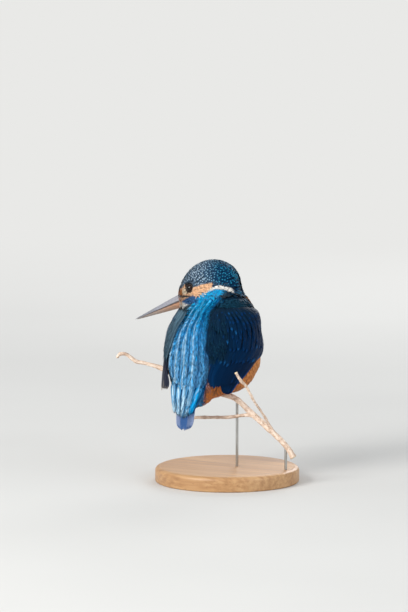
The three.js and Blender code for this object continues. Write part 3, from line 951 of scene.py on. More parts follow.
def wing_core(chart, name, top):
    """The wing's own flesh and packed quills: a closed sheet that thins to its rims, under the feathers."""
    rows, columns = 40, 22
    across = np.linspace(0.04, 0.96, columns)[None] * np.ones((rows, 1))
    end = 0.78 - 0.08 * step(0.5, 0.1, across)  # it ends sooner by the back, where only quills lie
    along = top + 0.05 + (end - top - 0.05) * np.linspace(0, 1, rows)[:, None]
    middle, out = chart.at(along, across)
    full = (0.25 + 0.9 * chart.bulge(along, across))[..., None]
    rings = np.concatenate([middle + out * full, (middle + out * 0.05)[:, ::-1]], 1)
    ends = [np.broadcast_to(ring.mean(0), (1, 2 * columns, 3)) for ring in (rings[0], rings[-1])]
    made = closed_grid(name, np.concatenate([ends[0], rings, ends[1]]))
    colour = mixed(TINT["scapular"], TINT["wing"], step(50, 40, mesh_points(made)[:, 2]))
    point_colours(made, "tint", colour * 0.7)
    return made


def vanes_on_wing(
    chart, name, roots, tips, width, heights, grid, cut, colours, material, thick, edging=0.0
):
    """Vanes from root to tip on the wing's chart: two columns of along and across, heights over its sheet.

    edging is how far the tip's colour runs back along the outer rim.
    """
    rows, columns = grid
    blunt, fray = cut
    count = len(roots)
    low, high = (np.broadcast_to(height, count)[:, None, None] for height in heights)
    share, across = vane_outline(rows, columns, blunt, fray, count)
    place = roots[:, None, None] + (tips - roots)[:, None, None] * share[..., None]
    middle, out = chart.at(place[..., 0], place[..., 1])
    straight = roots[:, None] + (tips - roots)[:, None] * np.linspace(0, 1, rows)[:, None]
    spine, _ = chart.at(straight[..., 0], straight[..., 1])
    way = unit(np.gradient(spine, axis=1))[:, :, None]
    beside = unit(np.cross(out, way))
    aside = across * width / 2
    full = chart.bulge(place[..., 0], place[..., 1])
    rise = (low + (high - low) * share) * (0.25 + 0.75 * full)
    rise = rise - 0.06 * width * across**2 + rng.normal(0, 0.04, count)[:, None, None]
    top = middle + aside[..., None] * beside + rise[..., None] * out
    length = np.linalg.norm(np.diff(spine, axis=1), axis=-1).sum(-1)
    run = share * length[:, None, None]
    patch = np.stack([roots[:, 1], 1 - roots[:, 0]], -1)
    main, tip, start = colours
    colours = (main, tip, start - edging * step(0.35, 1.0, across * chart.side))
    return coat_piece(name, top, -out, thick, share, aside, run, colours, patch, material)


def one_colour_each(first, second, share, spread=0.06):
    """A colour for each vane, between two, with a little chance in its lightness."""
    colour = mixed(first, second, share) * rng.normal(1, spread, len(share))[:, None]
    return colour[:, None, None]


def wing_quills(chart, name, material):
    """Primaries and secondaries, from the outermost, lowest one to the innermost, which lies on top.

    The left wing's are laid paler, a dull brown with cream edges: painted light on the lit side.
    """
    side = chart.side
    trim = 0.035 if side > 0 else -0.04  # the right wing is folded a little shorter
    pieces = []
    for part, across, reach, low, width in (
        ("primaries", np.linspace(0.97, 0.60, 9), (1.0, 0.97) if side > 0 else (0.97, 0.95), 0.9, 5.2),
        ("secondaries", np.linspace(0.86, 0.10, 12), (0.80, 0.90), 1.3, 5.6),
    ):
        count = len(across)
        rank = np.linspace(0, 1, count)
        roots = np.stack([np.full(count, 0.34), 0.12 + 0.8 * across], -1)
        tip_along = reach[0] + (reach[1] - reach[0]) * rank - 0.05 * rank**3 - trim
        tip_along = tip_along + rng.normal(0, 0.009, count)
        tips = np.stack([tip_along, across * (0.72 if part == "primaries" else 0.96)], -1)
        heights = (low + 0.35 * rank, low + 0.5 + 0.35 * rank)
        colours = (
            one_colour_each(TINT["quill"], TINT["wing"], rank, 0.12),
            one_colour_each(TINT["quill_edge"], TINT["wing_edge"], rank, 0.12),
            1.05,
        )
        if side < 0:
            # Painted light: on the lit left wing the quills are laid paler brown, with cream edges.
            wear_and_painted_light, painted_light_on_edges = (1.0, 1.0) if part == "primaries" else (0.35, 0.15)
            main = mixed(TINT["quill"], TINT["quill_in_painted_light"], wear_and_painted_light)
            colours = (main, mixed(TINT["quill_in_painted_light"], TINT["cream"], painted_light_on_edges), 0.93)
        pieces.append(vanes_on_wing(
            chart, f"{part}_{name}", roots, tips, width, heights, (16, 7), (9, 0.02), colours, material,
            thick=0.18, edging=0.9,
        ))
    return pieces


def wing_coverts(chart, name, top, material):
    """Two rows of large coverts over the quills' roots, then five rows of small ones up to the shoulder.

    Some of the outer ones carry a bright spot. The left wing's are painted paler and greyer towards the
    back: painted light.
    """
    rows = (  # root and tip along, how many, width, and height at root and tip of each row
        (0.33, 0.58, 13, 4.4, 1.5, 2.15),
        (0.25, 0.45, 14, 3.8, 1.7, 2.25),
        (0.19, 0.36, 15, 3.3, 1.8, 2.3),
        (0.145, 0.295, 16, 3.0, 1.85, 2.35),
        (0.10, 0.24, 15, 2.8, 1.85, 2.35),
        (0.06, 0.19, 14, 2.7, 1.85, 2.35),
        (0.03, 0.15, 13, 2.6, 1.7, 2.2),
    )
    pieces = []
    for rank, (start, end, count, width, low, high) in enumerate(rows):
        start, end = max(start, top), max(end, top + 0.1)
        across = (np.arange(count) + 0.5 * (rank % 2) + 0.25) / count + rng.normal(0, 0.008, count)
        scatter = rng.normal(0, 0.01, count)
        roots = np.stack([start + scatter, 0.04 + 0.92 * across], -1)
        tips = np.stack([end + scatter + rng.normal(0, 0.008, count), 0.03 + 0.94 * across], -1)
        outer = step(0.55, 0.9, across)
        spotted = rng.random(count) < 0.12 + 0.4 * outer
        # Painted light: the left wing's coverts turn pale grey teal towards the back, on the lit side.
        wear_and_painted_light = 0.75 * step(0.6, 0.05, across + 0.12 * rng.normal(0, 1, count)) * (chart.side < 0)
        navy = step(0.0, 0.45, across) * step(0.0, 0.22, start)
        main = mixed(mixed(TINT["scapular"], TINT["wing"], navy), TINT["shoulder"], wear_and_painted_light)
        spot = mixed(TINT["wing_edge"], TINT["wing_spot"], (0.2 + 0.6 * rng.random(count)) * spotted)
        spot = mixed(spot, TINT["shoulder"] * 1.3, wear_and_painted_light)
        colours = (
            (main * rng.normal(1, 0.1, (count, 1)))[:, None, None],
            spot[:, None, None],
            0.84 - 0.02 * min(rank, 4),
        )
        pieces.append(vanes_on_wing(
            chart, f"coverts_{rank + 1}_{name}", roots, tips, width, (low, high), (9, 5), (6, 0.08), colours,
            material, thick=0.09,
        ))
    return pieces


def scapulars(chart, name, top, material):
    """The loose feathers draped from the mantle over the wing's inner edge."""
    count = 90
    start = np.sort(rng.uniform(top - 0.02, 0.36, count))[::-1]
    across = rng.uniform(-0.03, 0.22 - 0.12 * np.abs(start - 0.15) * 2, count)
    roots = np.stack([start, across], -1)
    tips = np.stack([start + rng.uniform(0.16, 0.24, count), across + 0.02 + rng.normal(0, 0.02, count)], -1)
    # Painted light: the left scapulars, on the lit side, are laid paler and greyer.
    wear_and_painted_light = 0.7 * (chart.side < 0)
    main = mixed(TINT["scapular"], TINT["shoulder"], wear_and_painted_light)
    edge = mixed(TINT["scapular_edge"], TINT["shoulder"], wear_and_painted_light)
    colours = (
        one_colour_each(main, TINT["wing"], 0.3 * rng.random(count), 0.14),
        one_colour_each(edge, TINT["wing"], 0.2 * rng.random(count)),
        0.85,
    )
    return vanes_on_wing(
        chart, f"scapulars_{name}", roots, tips, 3.0, (1.5, 2.7), (9, 5), (5, 0.16), colours, material,
        thick=0.08,
    )


def wing(side, name, materials):
    """One folded wing: its core, the quills, the coverts over them, the scapulars over its inner edge."""
    chart = WingChart(side)
    top = 0.04 if side > 0 else 0.14  # the left shoulder is drawn down, clear of the throat
    core = wing_core(chart, f"wing_core_{name}", top)
    core.data.materials.append(materials["skin"])
    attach(core, "root")
    pieces = [core]
    pieces += wing_quills(chart, name, materials["glossy"])
    pieces += wing_coverts(chart, name, top, materials["glossy"])
    pieces.append(scapulars(chart, name, top, materials["glossy"]))
    for piece in pieces:
        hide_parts(f"wing_{name}")


# ---------------------------------------------------------------- tail
TAIL_RUN = TAIL_TIP - TAIL_ROOT
TAIL_OUT = unit(np.array([0.0, TAIL_RUN[2], -TAIL_RUN[1]]))
TAIL_LENGTH = np.linalg.norm(TAIL_RUN)


def tail_place(along, aside, above):
    """Point on the tail: share along its bowed middle, millimetres to the bird's right and behind it."""
    bow = 1.6 * np.sin(np.clip(along, 0, 1.1) * math.pi)
    return (
        TAIL_ROOT
        + np.multiply.outer(along, TAIL_RUN)
        + np.multiply.outer(aside, LEVEL_AXES[0])
        + np.multiply.outer(above + bow, TAIL_OUT)
    )


def tail_depth(along):
    """Half the thickness of the tail with its coverts."""
    return 4.2 - 3.4 * np.clip(along, 0, 1) ** 0.7


def vanes_on_tail(
    name, roots, tips, width, heights, grid, cut, colours, material, face=1, thick=0.1, wave=0.0, edging=0.0
):
    """Vanes on the tail: roots and tips as columns of share along and millimetres aside.

    face is 1 behind the tail and -1 on the side of the belly, wave how far, in millimetres, the vanes swing
    out on their way, and edging how far the tip's colour runs back along both rims.
    """
    rows, columns = grid
    blunt, fray = cut
    count = len(roots)
    low, high = (height[:, None, None] for height in heights)
    share, across = vane_outline(rows, columns, blunt, fray, count)
    place = roots[:, None, None] + (tips - roots)[:, None, None] * share[..., None]
    aside = across * width / 2
    above = low + (high - low) * share - 0.07 * width * across**2
    above = above + wave * np.sin(share * 3 + np.arange(count)[:, None, None] * 1.7) * share
    fall = 0.012 * (place[..., 1] + aside - TAIL_ROOT[0]) ** 2
    top = tail_place(place[..., 0], place[..., 1] + aside, face * (above - fall))
    run = share * (np.abs(tips - roots)[:, 0] * TAIL_LENGTH)[:, None, None]
    chart = np.stack([roots[:, 1] / 30, -roots[:, 0]], -1) + rng.normal(0, 0.01, (count, 2))
    down = np.broadcast_to(-TAIL_OUT * face, top.shape)
    colours = (colours[0], colours[1], colours[2] - edging * step(0.45, 1.0, np.abs(across)))
    if face < 0:
        top, aside, run, share = (part[:, :, ::-1] for part in (top, aside, run, share))
    return coat_piece(name, top, down, thick, share, aside, run, colours, chart, material)


def tail_quills(material):
    """Twelve quills folded under each other, the middle pair on top."""
    pair = np.repeat(np.arange(5, -1, -1), 2)
    side = np.tile([-1, 1], 6)
    roots = np.stack([np.full(12, 0.30), side * (1.2 + 0.8 * pair)], -1)
    tips = np.stack([1.0 - 0.007 * pair, 0.1 + side * (1.0 + 0.64 * pair)], -1)
    rank = 1 - pair / 5
    colours = (
        one_colour_each(TINT["tail"], TINT["tail"], rank),
        one_colour_each(TINT["tail_edge"], TINT["tail"], 0.5 * rank),
        0.96,
    )
    heights = (0.2 + 0.9 * rank, -0.45 + 0.95 * rank)
    return vanes_on_tail(
        "tail_quills", roots, tips, 4.5, heights, (20, 7), (14, 0.01), colours, material,
        thick=0.2, edging=0.7,
    )


def tail_coverts(material):
    """The long azure coverts, which fray over the quills' roots and carry on the locks of the back."""
    count = 460
    start = np.sort(rng.uniform(0.12, 0.58, count))[::-1]
    aside = rng.uniform(-1, 1, count)
    half = np.interp(start, [0.1, 0.35, 0.6], [13.0, 12.5, 7.5])
    end = np.minimum(start + rng.uniform(0.24, 0.36, count), 0.84 - 0.1 * np.abs(aside))
    half_end = np.interp(end, [0.35, 0.6, 0.84], [12.0, 8.8, 6.2])
    roots = np.stack([start, -0.5 + aside * half], -1)
    tips = np.stack([end, -0.6 + (aside + rng.normal(0, 0.04, count)) * half_end], -1)
    crest = 0.5 + 0.5 * np.cos(2 * math.pi * LOCKS * aside + 0.6)
    fine = 0.5 + 0.5 * np.cos(2 * math.pi * STREAKS * aside + 2.0)
    tucked = step(0.36, 0.14, start)  # the uppermost slip under the loose feathers of the back
    base = tail_depth(start) - 1.2 + 0.9 * crest - 2.4 * tucked
    heights = (base, tail_depth(end) - 0.2 + 1.1 * crest - 1.5 * tucked)
    # Painted highlight and painted shade: paler on the crests and towards the bird's lit left side, with
    # paler rims there, and deep blue between the crests.
    pale = 0.9 * step(0.3, 0.85, 0.55 * crest + 0.45 * fine) * step(0.8, 0.0, aside)
    pale = np.clip(pale + rng.normal(0, 0.22, count), 0, 1)
    glow = mixed(TINT["azure"], TINT["painted_azure_highlight"], pale)
    main = mixed(TINT["azure_deep"], glow, step(0.1, 0.75, crest)) * rng.normal(0.76, 0.13, (count, 1))
    rim = mixed(main, TINT["painted_azure_highlight"], 0.6 * rng.random(count) * step(0.8, 0.2, aside))
    colours = (main[:, None, None], rim[:, None, None], 0.6)
    return vanes_on_tail(
        "tail_coverts", roots, tips, 1.8, heights, (11, 5), (3, 0.3), colours, material, wave=0.3
    )


def undertail_coverts(material):
    """Rufous coverts under the tail, some of them paler, up to cream."""
    count = 90
    start = np.sort(rng.uniform(0.18, 0.5, count))[::-1]
    aside = rng.uniform(-1, 1, count)
    roots = np.stack([start, -0.5 + aside * 7.5], -1)
    end = start + rng.uniform(0.18, 0.27, count)
    tips = np.stack([end, -0.6 + aside * (8.2 - 3 * start)], -1)
    heights = (tail_depth(start) - 1.5, tail_depth(end) + 0.2)
    pale = step(0.6, 0.95, rng.random(count))
    colours = (
        one_colour_each(TINT["vent"], TINT["cream"], pale),
        one_colour_each(TINT["belly_edge"], TINT["cream"], pale),
        0.7,
    )
    return vanes_on_tail(
        "undertail_coverts", roots, tips, 3.6, heights, (9, 5), (4, 0.12), colours, material, face=-1
    )


def tail(materials):
    """The tail: its quills, the azure coverts over them and the rufous ones under them."""
    pieces = [
        tail_quills(materials["tail"]),
        tail_coverts(materials["back"]),
        undertail_coverts(materials["soft"]),
    ]
    for piece in pieces:
        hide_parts("tail")


# ---------------------------------------------------------------- skin and plumage
def stem_frame(x):
    """Middle of the twig at this x, and its way along, forward and up there."""
    share = np.linspace(0, 1, 400)
    path = smooth_table(share, STEM)[:, :3]
    at = np.stack([np.interp(x, path[:, 0], path[:, k]) for k in range(3)], -1)
    ahead = np.stack([np.interp(x + 0.5, path[:, 0], path[:, k]) for k in range(3)], -1)
    along = unit(ahead - at)
    front = unit(LEVEL_AXES[1] - along * along[1])
    return at, along, front, np.cross(along, front)


TOES = [(-1.7, 92, 1), (0.15, 104, 1), (1.9, 86, 1), (0.4, 84, -1)]  # offset, sweep, 1 forward or -1 back


def round_stem(x, offset, degrees, way, clear):
    """Point beside the twig: offset along it, turned by so many degrees from its top forward or back."""
    at, _, front, up = stem_frame(x + offset)
    turn = math.radians(degrees)
    reach = STEM_RADIUS + clear
    return at + up * math.cos(turn) * reach + front * way * math.sin(turn) * reach


def toe_route(x, toe, first, last, clear, radius):
    """Route of a toe or claw round the twig, its knuckles standing a little off it."""
    offset, sweep, way = toe
    rows = []
    for share in np.linspace(first, last, 6):
        over = clear + 0.35 * math.sin(share * 9)
        point = round_stem(x, offset * min(1, 0.35 + share), 12 + sweep * share, way, over)
        rows.append([*point, radius(share)])
    return rows


def leg(side, name, material):
    """The claws of one leg, and the skin that it hands back: a shank, three toes forward and one back."""
    x = side * LEG_APART

    def knuckles(share, turn):
        """Three swellings along a toe, a little flattened."""
        return 1 + 0.09 * np.cos(share * 2 * math.pi * 3 + 1) + 0.02 * np.cos(turn * 2)

    foot = round_stem(x, 0, 0, 1, TOE + 1.2)
    shank_route = [
        [*foot, 1.35],
        [foot[0], foot[1] - 0.6, foot[2] + 4.2, 1.2],
        [foot[0] * 0.97, foot[1] - 1, foot[2] + 8.5, 1.5],
        [foot[0] * 0.95, foot[1] - 1, foot[2] + 11.5, 2.6],
    ]
    parts = [tube(f"shank_{name}", shank_route, 20, 18)]
    for number, toe in enumerate(TOES):
        route = toe_route(x, toe, 0, 1, TOE + 0.55, lambda share: TOE * (1 - 0.28 * share))
        parts.append(tube(f"toe_{name}_{number}", route, 16, 16, knuckles))
    sole = round_stem(x, 0, 0, 1, TOE + 0.9)
    parts.append(ball(f"sole_{name}", sole, LEVEL_AXES * (TOE + 0.6), 20, 12))
    foot_skin = with_modifiers(
        joined(f"leg_and_foot_{name}", parts),
        ("REMESH", {"mode": "VOXEL", "voxel_size": 0.25 * MM, "use_smooth_shade": True}),
        ("SMOOTH", {"factor": 0.5, "iterations": 2}),
    )
    for number, toe in enumerate(TOES):
        route = toe_route(x, toe, 0.98, 1.46, TOE + 0.42, lambda share: 0.72 * (1.52 - share) ** 0.8 + 0.03)
        claw = tube(f"claw_horn_{name}_{number + 1}", route, 14, 16)
        claw.data.materials.append(material)
        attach(claw, "root")
        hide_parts(f"claw_{name}_{number + 1}")
    return foot_skin


def ball(name, middle, axes, sides, rings):
    """An egg: middle and its three half axes as rows, the last one running through its poles."""
    fall = np.linspace(0, math.pi, rings)[:, None]
    turn = np.linspace(0, 2 * math.pi, sides, endpoint=False)[None]
    ways = np.stack([np.sin(fall) * np.cos(turn), np.sin(fall) * np.sin(turn), np.cos(fall) + 0 * turn], -1)
    return closed_grid(name, np.asarray(middle) + ways @ np.asarray(axes))


def star(name, middle, axis, side, level, rings, sides):
    """The form seen from a point inside it: a closed body of rays round an axis, ending at level past it."""
    other = np.cross(axis, side)
    fall = np.linspace(0, math.pi, rings)[:, None]
    turn = np.linspace(0, 2 * math.pi, sides, endpoint=False)[None]
    ways = (
        np.cos(fall)[..., None] * axis
        + (np.sin(fall) * np.cos(turn))[..., None] * side
        + (np.sin(fall) * np.sin(turn))[..., None] * other
    )
    ways[0], ways[-1] = axis, -axis
    return closed_grid(name, along_rays(middle, ways) + ways * level)


def skin(feet, materials):
    """The whole bird's skin as one closed body.

    Head and trunk are drawn as stars, joined, and smoothed on to the form at the coat's depth, but not low
    down, where the legs come out. Then the legs are joined on.
    """
    head = star("skin_head", HEAD, AHEAD, LEFT, -COAT["head"], 80, 96)
    above = COAT_MIDDLE + 2 * LEVEL_AXES[2]
    trunk = star("skin_trunk", above, LEVEL_AXES[2], LEVEL_AXES[0], -COAT["trunk"], 96, 120)
    fineness = 0.7 * MM
    made = with_modifiers(
        joined("skin", [head, trunk]),
        ("REMESH", {"mode": "VOXEL", "voxel_size": fineness, "use_smooth_shade": True}),
    )
    points = mesh_points(made)
    depth = COAT["trunk"] + (COAT["head"] - COAT["trunk"]) * step(54, 60, neck_height(points))
    settled = on_level(points, -depth, 3)
    low_down = points[:, 2] < 4
    settled[low_down] = points[low_down]
    move_points(made, settled)
    made.data.materials.append(materials["skin"])
    for foot in feet:
        foot.data.materials.append(materials["scale"])
    union = {"operation": "UNION", "solver": "EXACT", "material_mode": "TRANSFER"}
    together = with_modifiers(made, *(("BOOLEAN", {**union, "object": foot}) for foot in feet))
    for foot in feet:
        bpy.data.objects.remove(foot)
    together.data.shade_smooth()
    main, _, _ = marks(mesh_points(together))
    point_colours(together, "tint", main)
    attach(together, "root")
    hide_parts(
        "head", "neck", "trunk", "leg_left", "leg_right", "foot_left", "foot_right"
    )


def lattice(count, start, axis, side, level):
    """Even roots at a level over the form: golden-angle rays from a point, a little disturbed."""
    ways = unit(spread_ways(count, axis, side) + rng.normal(0, 0.75 / math.sqrt(count), (count, 3)))
    return on_level(along_rays(start, ways), level)


MOST_TRIANGLES = 170000  # in one piece of the coat


def lay(name, roots, sizes, heights, grid, cut, material, slot, **more):
    """Lays one kind of feather on the form, in as many pieces as MOST_TRIANGLES asks for."""
    each = 4 * (grid[0] - 1) * (grid[1] - 1)
    parts = math.ceil(len(roots) * each / MOST_TRIANGLES)
    numbers = [np.broadcast_to(value, len(roots)) for value in (*sizes, *heights)]
    for part, chosen in enumerate(np.array_split(np.arange(len(roots)), parts)):
        length, width, low, high = (number[chosen] for number in numbers)
        vanes_on_form(
            f"{name}_{part + 1}", roots[chosen], (length, width), (low, high), grid, cut, material, slot,
            **more,
        )


def on_head(points):
    """Whether roots belong to the head."""
    return points[:, 2] > neck_line(points) - 1.0


def on_face(points):
    """Whether roots lie where feathers are short and fine: below the crown and on the white stripe."""
    ahead, left, up = head_place(points)
    curve, half = stripe_curve(ahead)
    face = (up < crown_edge(ahead) + 0.4) & (ahead > -17)
    return on_head(points) & (np.abs(left) > 2.5) & (face | (np.abs(up - curve) < half + 0.9))


def head_plumage(less, materials):
    """Barred feathers on the crown, then fine ones on the face, smallest round the eyes and the bill."""
    bill_root = in_head(21.5, 0.0, -3.2)
    crown = lattice(int(1350 * less), HEAD, AHEAD, LEFT, -1.0)
    away = np.linalg.norm(crown - bill_root, axis=-1)
    roots = crown[on_head(crown) & ~on_face(crown) & (from_eye(crown) > 3.7) & (away > 8.5)]
    back_of_head = step(2, -15, head_place(roots)[0])
    sizes = (3.1 + 1.4 * back_of_head, 2.0 + 0.3 * back_of_head)
    heights = (-0.9, 0.08 + 0.1 * back_of_head)
    lay("coat_crown", roots, sizes, heights, (7, 5), (5, 0.12), materials["crown"], "crown")

    face = lattice(int(9500 * less), HEAD, AHEAD, LEFT, -0.8)
    away = np.linalg.norm(face - bill_root, axis=-1)
    _, left, up = head_place(face)
    on_throat = on_head(face) & (np.abs(left) <= 2.5) & (up < -2)
    round_bill = on_head(face) & (away < 9.5)
    roots = face[(on_face(face) | on_throat | round_bill) & (from_eye(face) > 3.1) & (away > 4.2)]
    long = step(9, -4, head_place(roots)[0])
    near = step(4.6, 3.0, from_eye(roots))
    sizes = ((1.8 + 1.5 * long) * (1 - 0.45 * near), (1.0 + 0.35 * long) * (1 - 0.3 * near))
    lay(
        "coat_face", roots, sizes, (-0.45, 0.04), (5, 3), (3, 0.2), materials["soft"], "crown",
        thick=0.05, wild=0.14,
    )


def trunk_plumage(less, materials):
    """The dark mantle, the soft belly, denser by the neck and the vent, and the long loose azure back."""
    upright = (LEVEL_AXES[2], LEVEL_AXES[0])
    trunk = lattice(int(6200 * less), COAT_MIDDLE, *upright, -2.0)
    collar = lattice(int(9000 * less), COAT_MIDDLE, *upright, -1.5)
    collar = collar[(neck_line(collar) - collar[:, 2] < 6) & (collar[:, 1] > 2)]
    vent = lattice(int(2400 * less), np.array([-2.0, -7, 7]), *upright, -1.5)
    vent = vent[(vent[:, 2] < 4) & (vent[:, 1] < 1) & (np.abs(vent[:, 0] + 4) < 18)]
    trunk = np.concatenate([trunk, collar, vent])
    x, y, z = trunk.T
    off_twig = (np.abs(y - 1.5) > 3.2) | (z > 2 - 0.22 * x) | (np.abs(x + 16.5) < 6.5)
    rest = ~on_head(trunk) & (azure_share(trunk) < 0.5) & off_twig
    mantle = rest & (round_back(x, y) < 116 + 0.8 * (z - 50)) & (z > 17)
    lay(
        "coat_mantle", trunk[mantle], (6.4, 3.4), (-1.7, 0.2), (8, 5), (5, 0.14), materials["glossy"], "wing"
    )
    roots = trunk[rest & ~mantle]
    low = step(20, 0, roots[:, 2])
    near = step(9, 1, neck_line(roots) - roots[:, 2])
    sizes = ((8.0 - 2.0 * low) * (1 - 0.5 * near), (3.5 - 0.5 * low) * (1 - 0.35 * near))
    lay(
        "coat_belly", roots, sizes, (-0.95 + 0.1 * near, 0.05), (8, 5), (3, 0.1), materials["soft"], "back",
        thick=0.04, uneven=0.02, flowing=0.5, patchy=0.04,
    )

    back = lattice(int(14000 * less), COAT_MIDDLE, *upright, -1.9)
    roots = back[(azure_share(back) > 0.4) & ~on_head(back) & (back[:, 2] > -7)]
    lower = step(55, 25, roots[:, 2])
    sizes = (6.0 + 5.5 * lower, 2.0 + 0.6 * lower)
    lay(
        "coat_back", roots, sizes, (-1.1, 0.16), (9, 5), (3, 0.3), materials["back"], "back",
        thick=0.05, wild=0.16, flowing=0.8, uneven=0.03, patchy=0.17,
    )


# ---------------------------------------------------------------- bill and eyes
def mandible(name, upper, material):
    """One half of the bill: rings that taper from the face to the tip.

    Each ring is half an ellipse drawn in towards a ridge, and flat along its cutting edge. A nostril is
    pressed into the sides of the upper half, and a shallow groove runs forward from it.
    """
    sign = 1 if upper else -1
    tall = BILL["upper"] if upper else BILL["lower"]
    length = BILL["length"] - (0 if upper else 1)
    along = np.concatenate([[0], np.linspace(0, 1, 72) ** 0.9])[:, None]
    turn = np.linspace(0, 2 * math.pi, 64, endpoint=False)[None]
    narrow = 1 - along
    end = np.minimum(1, np.sqrt(np.maximum(narrow, 0) * 14))
    wide = BILL["wide"] * narrow + 0.32 * end
    high = tall * narrow * (1 + 0.05 * np.sin(along * 3.1)) + 0.36 * end
    rise = np.maximum(np.sin(turn), 0)
    ridge = 1 - 0.42 * rise**2
    left = wide * np.cos(turn) * ridge
    up = high * rise**0.92 - 0.05 * wide * np.maximum(-np.sin(turn), 0)
    if upper:
        side = sum(np.exp(-(((turn - math.radians(angle)) / 0.13) ** 2)) for angle in (32, 148))
        pit = np.exp(-(((along - 0.135) / 0.026) ** 2))
        groove = 0.22 * step(0.12, 0.17, along) * step(0.62, 0.3, along)
        left = left - np.sign(np.cos(turn)) * side * (0.75 * pit + groove)
    else:
        up = up + 0.25 * step(0.2, 0.0, along) * rise
    left[0], up[0] = 0, 0
    ahead = BILL["start"] + length * along + 0 * turn
    up = BILL["low"] + BILL["rise"] * along + sign * (0.1 + up)
    made = closed_grid(f"{name}_horn", in_head(ahead, left, up))
    ahead, _, up = head_place(mesh_points(made))
    share = (ahead - BILL["start"]) / length
    over_edge = np.abs(up - BILL["low"] - BILL["rise"] * share)
    point_values(made, "along", share)
    point_values(made, "height", over_edge / (tall * (1.02 - share)))
    made.data.materials.append(material)
    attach(made, "root")
    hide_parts(name)


def eye(side, name, materials):
    """A glossy ball set in its socket and the beaded ring of its lids, square to the head's side there."""
    middle = in_head(EYE["ahead"], side * EYE["side"], EYE["up"])
    _, out = form(middle + side * LEFT * 2)
    axis = unit(out + side * LEFT * 1.2)
    across = unit(np.cross(CROWN, axis))
    up = np.cross(axis, across)
    ball_made = ball(f"{name}_ball", middle, np.array([across, up, axis]) * EYE["radius"], 72, 48)
    facing = (mesh_points(ball_made) - middle) @ axis / EYE["radius"]
    point_values(ball_made, "from_pupil", np.degrees(np.arccos(np.clip(facing, -1, 1))))
    ball_made.data.materials.append(materials["eye"])
    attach(ball_made, "root")
    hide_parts(name)

    rows, columns = 96, 16
    turn = np.linspace(0, 2 * math.pi, rows, endpoint=False)[:, None]
    round_lid = np.linspace(0, 2 * math.pi, columns, endpoint=False)[None]
    bead = 0.30 + 0.035 * np.cos(turn * 22)
    open_to = 2.72 + 0.1 * np.cos(2 * turn) + bead * np.cos(round_lid)
    over = np.sqrt(EYE["radius"] ** 2 - 2.8**2) + bead * np.sin(round_lid) * 1.1 - 0.1 * np.cos(2 * turn)
    points = (
        middle
        + (open_to * np.cos(turn))[..., None] * across
        + (open_to * np.sin(turn))[..., None] * up
        + (over + 0 * turn)[..., None] * axis
    )
    index = np.arange(rows * columns).reshape(rows, columns)
    loop = [np.roll(index, shift, (0, 1)) for shift in ((0, 0), (-1, 0), (-1, -1), (0, -1))]
    faces = np.stack(loop, -1).reshape(-1, 4)
    lid = new_mesh(f"lid_{name}", points, faces[:, ::-1])
    lid.data.materials.append(materials["lid"])
    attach(lid, "root")


# ---------------------------------------------------------------- perch and stand
def mesh_normals(made):
    """The way out at each vertex."""
    flat = np.empty(len(made.data.vertices) * 3, np.float32)
    made.data.vertex_normals.foreach_get("vector", flat)
    return flat.reshape(-1, 3).astype(float)


def perch(material):
    """The forked twig: three tapering bars grown into one body, with swellings, ridged bark and cut ends."""

    def knots(share, turn):
        """Even swellings along a bar, and three ridges that wind round it."""
        swelling = np.exp(-(((share * 6.5) % 1 - 0.5) / 0.09) ** 2)
        return 1 + 0.16 * swelling + 0.04 * np.cos(turn * 3 + share * 9)

    bars = [
        tube("stem", STEM, 28, 160, knots),
        tube("upper", UPPER_TWIG, 20, 90, knots),
        tube("lower", LOWER_TWIG, 20, 90, knots),
    ]
    fineness = 0.3 * MM
    made = with_modifiers(
        joined("forked_twig", bars),
        ("REMESH", {"mode": "VOXEL", "voxel_size": fineness, "use_smooth_shade": True}),
        ("SMOOTH", {"factor": 0.5, "iterations": 3}),
    )
    points = mesh_points(made)
    lengthwise = points * np.array([0.25, 1, 0.6])
    bark = 0.1 * ripples(lengthwise, 1.1, 31) + 0.06 * ripples(points, 0.8, 32)
    bark = bark + 0.12 * ripples(points, 6, 33)
    move_points(made, points + mesh_normals(made) * bark[:, None])
    cut = np.zeros(len(points))
    for route in (STEM, UPPER_TWIG, LOWER_TWIG):
        for end, inner in ((route[0], route[1]), (route[-1], route[-2])):
            end, inner = np.array(end), np.array(inner)
            outward = unit(end[:3] - inner[:3])
            beyond = (points - end[:3]) @ outward
            near = np.linalg.norm(points - end[:3], axis=-1)
            cut = np.maximum(cut, step(-0.35, -0.1, beyond) * (near < end[3] * 1.3))
    point_values(made, "cut", cut)
    made.data.materials.append(material)
    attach(made, "root")
    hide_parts("perch")


def revolved(name, profile, axis, segments):
    """A turned body: a profile of radius and height in the part's frame, carried round an upright axis."""
    profile = np.array(profile, float)
    turn = np.linspace(0, 2 * math.pi, segments, endpoint=False)
    ring = np.stack([np.cos(turn), np.sin(turn)], -1)
    points = np.empty((len(profile), segments, 3))
    points[..., :2] = np.array(axis) + profile[:, None, :1] * ring[None]
    points[..., 2] = profile[:, 1:2]
    return closed_grid(name, points - FEET)


def rounded(corners, radius):
    """A profile whose inner corners are cut back by a radius along each side and bent round in 4 steps."""
    corners = np.array(corners, float)
    out = [corners[:1]]
    share = np.linspace(0, 1, 5)[:, None]
    for before, here, after in zip(corners[:-2], corners[1:-1], corners[2:]):
        first = here + unit(before - here) * min(radius, np.linalg.norm(before - here) / 2)
        last = here + unit(after - here) * min(radius, np.linalg.norm(after - here) / 2)
        out.append(first * (1 - share) ** 2 + 2 * here * share * (1 - share) + last * share**2)
    return np.concatenate(out + [corners[-1:]])


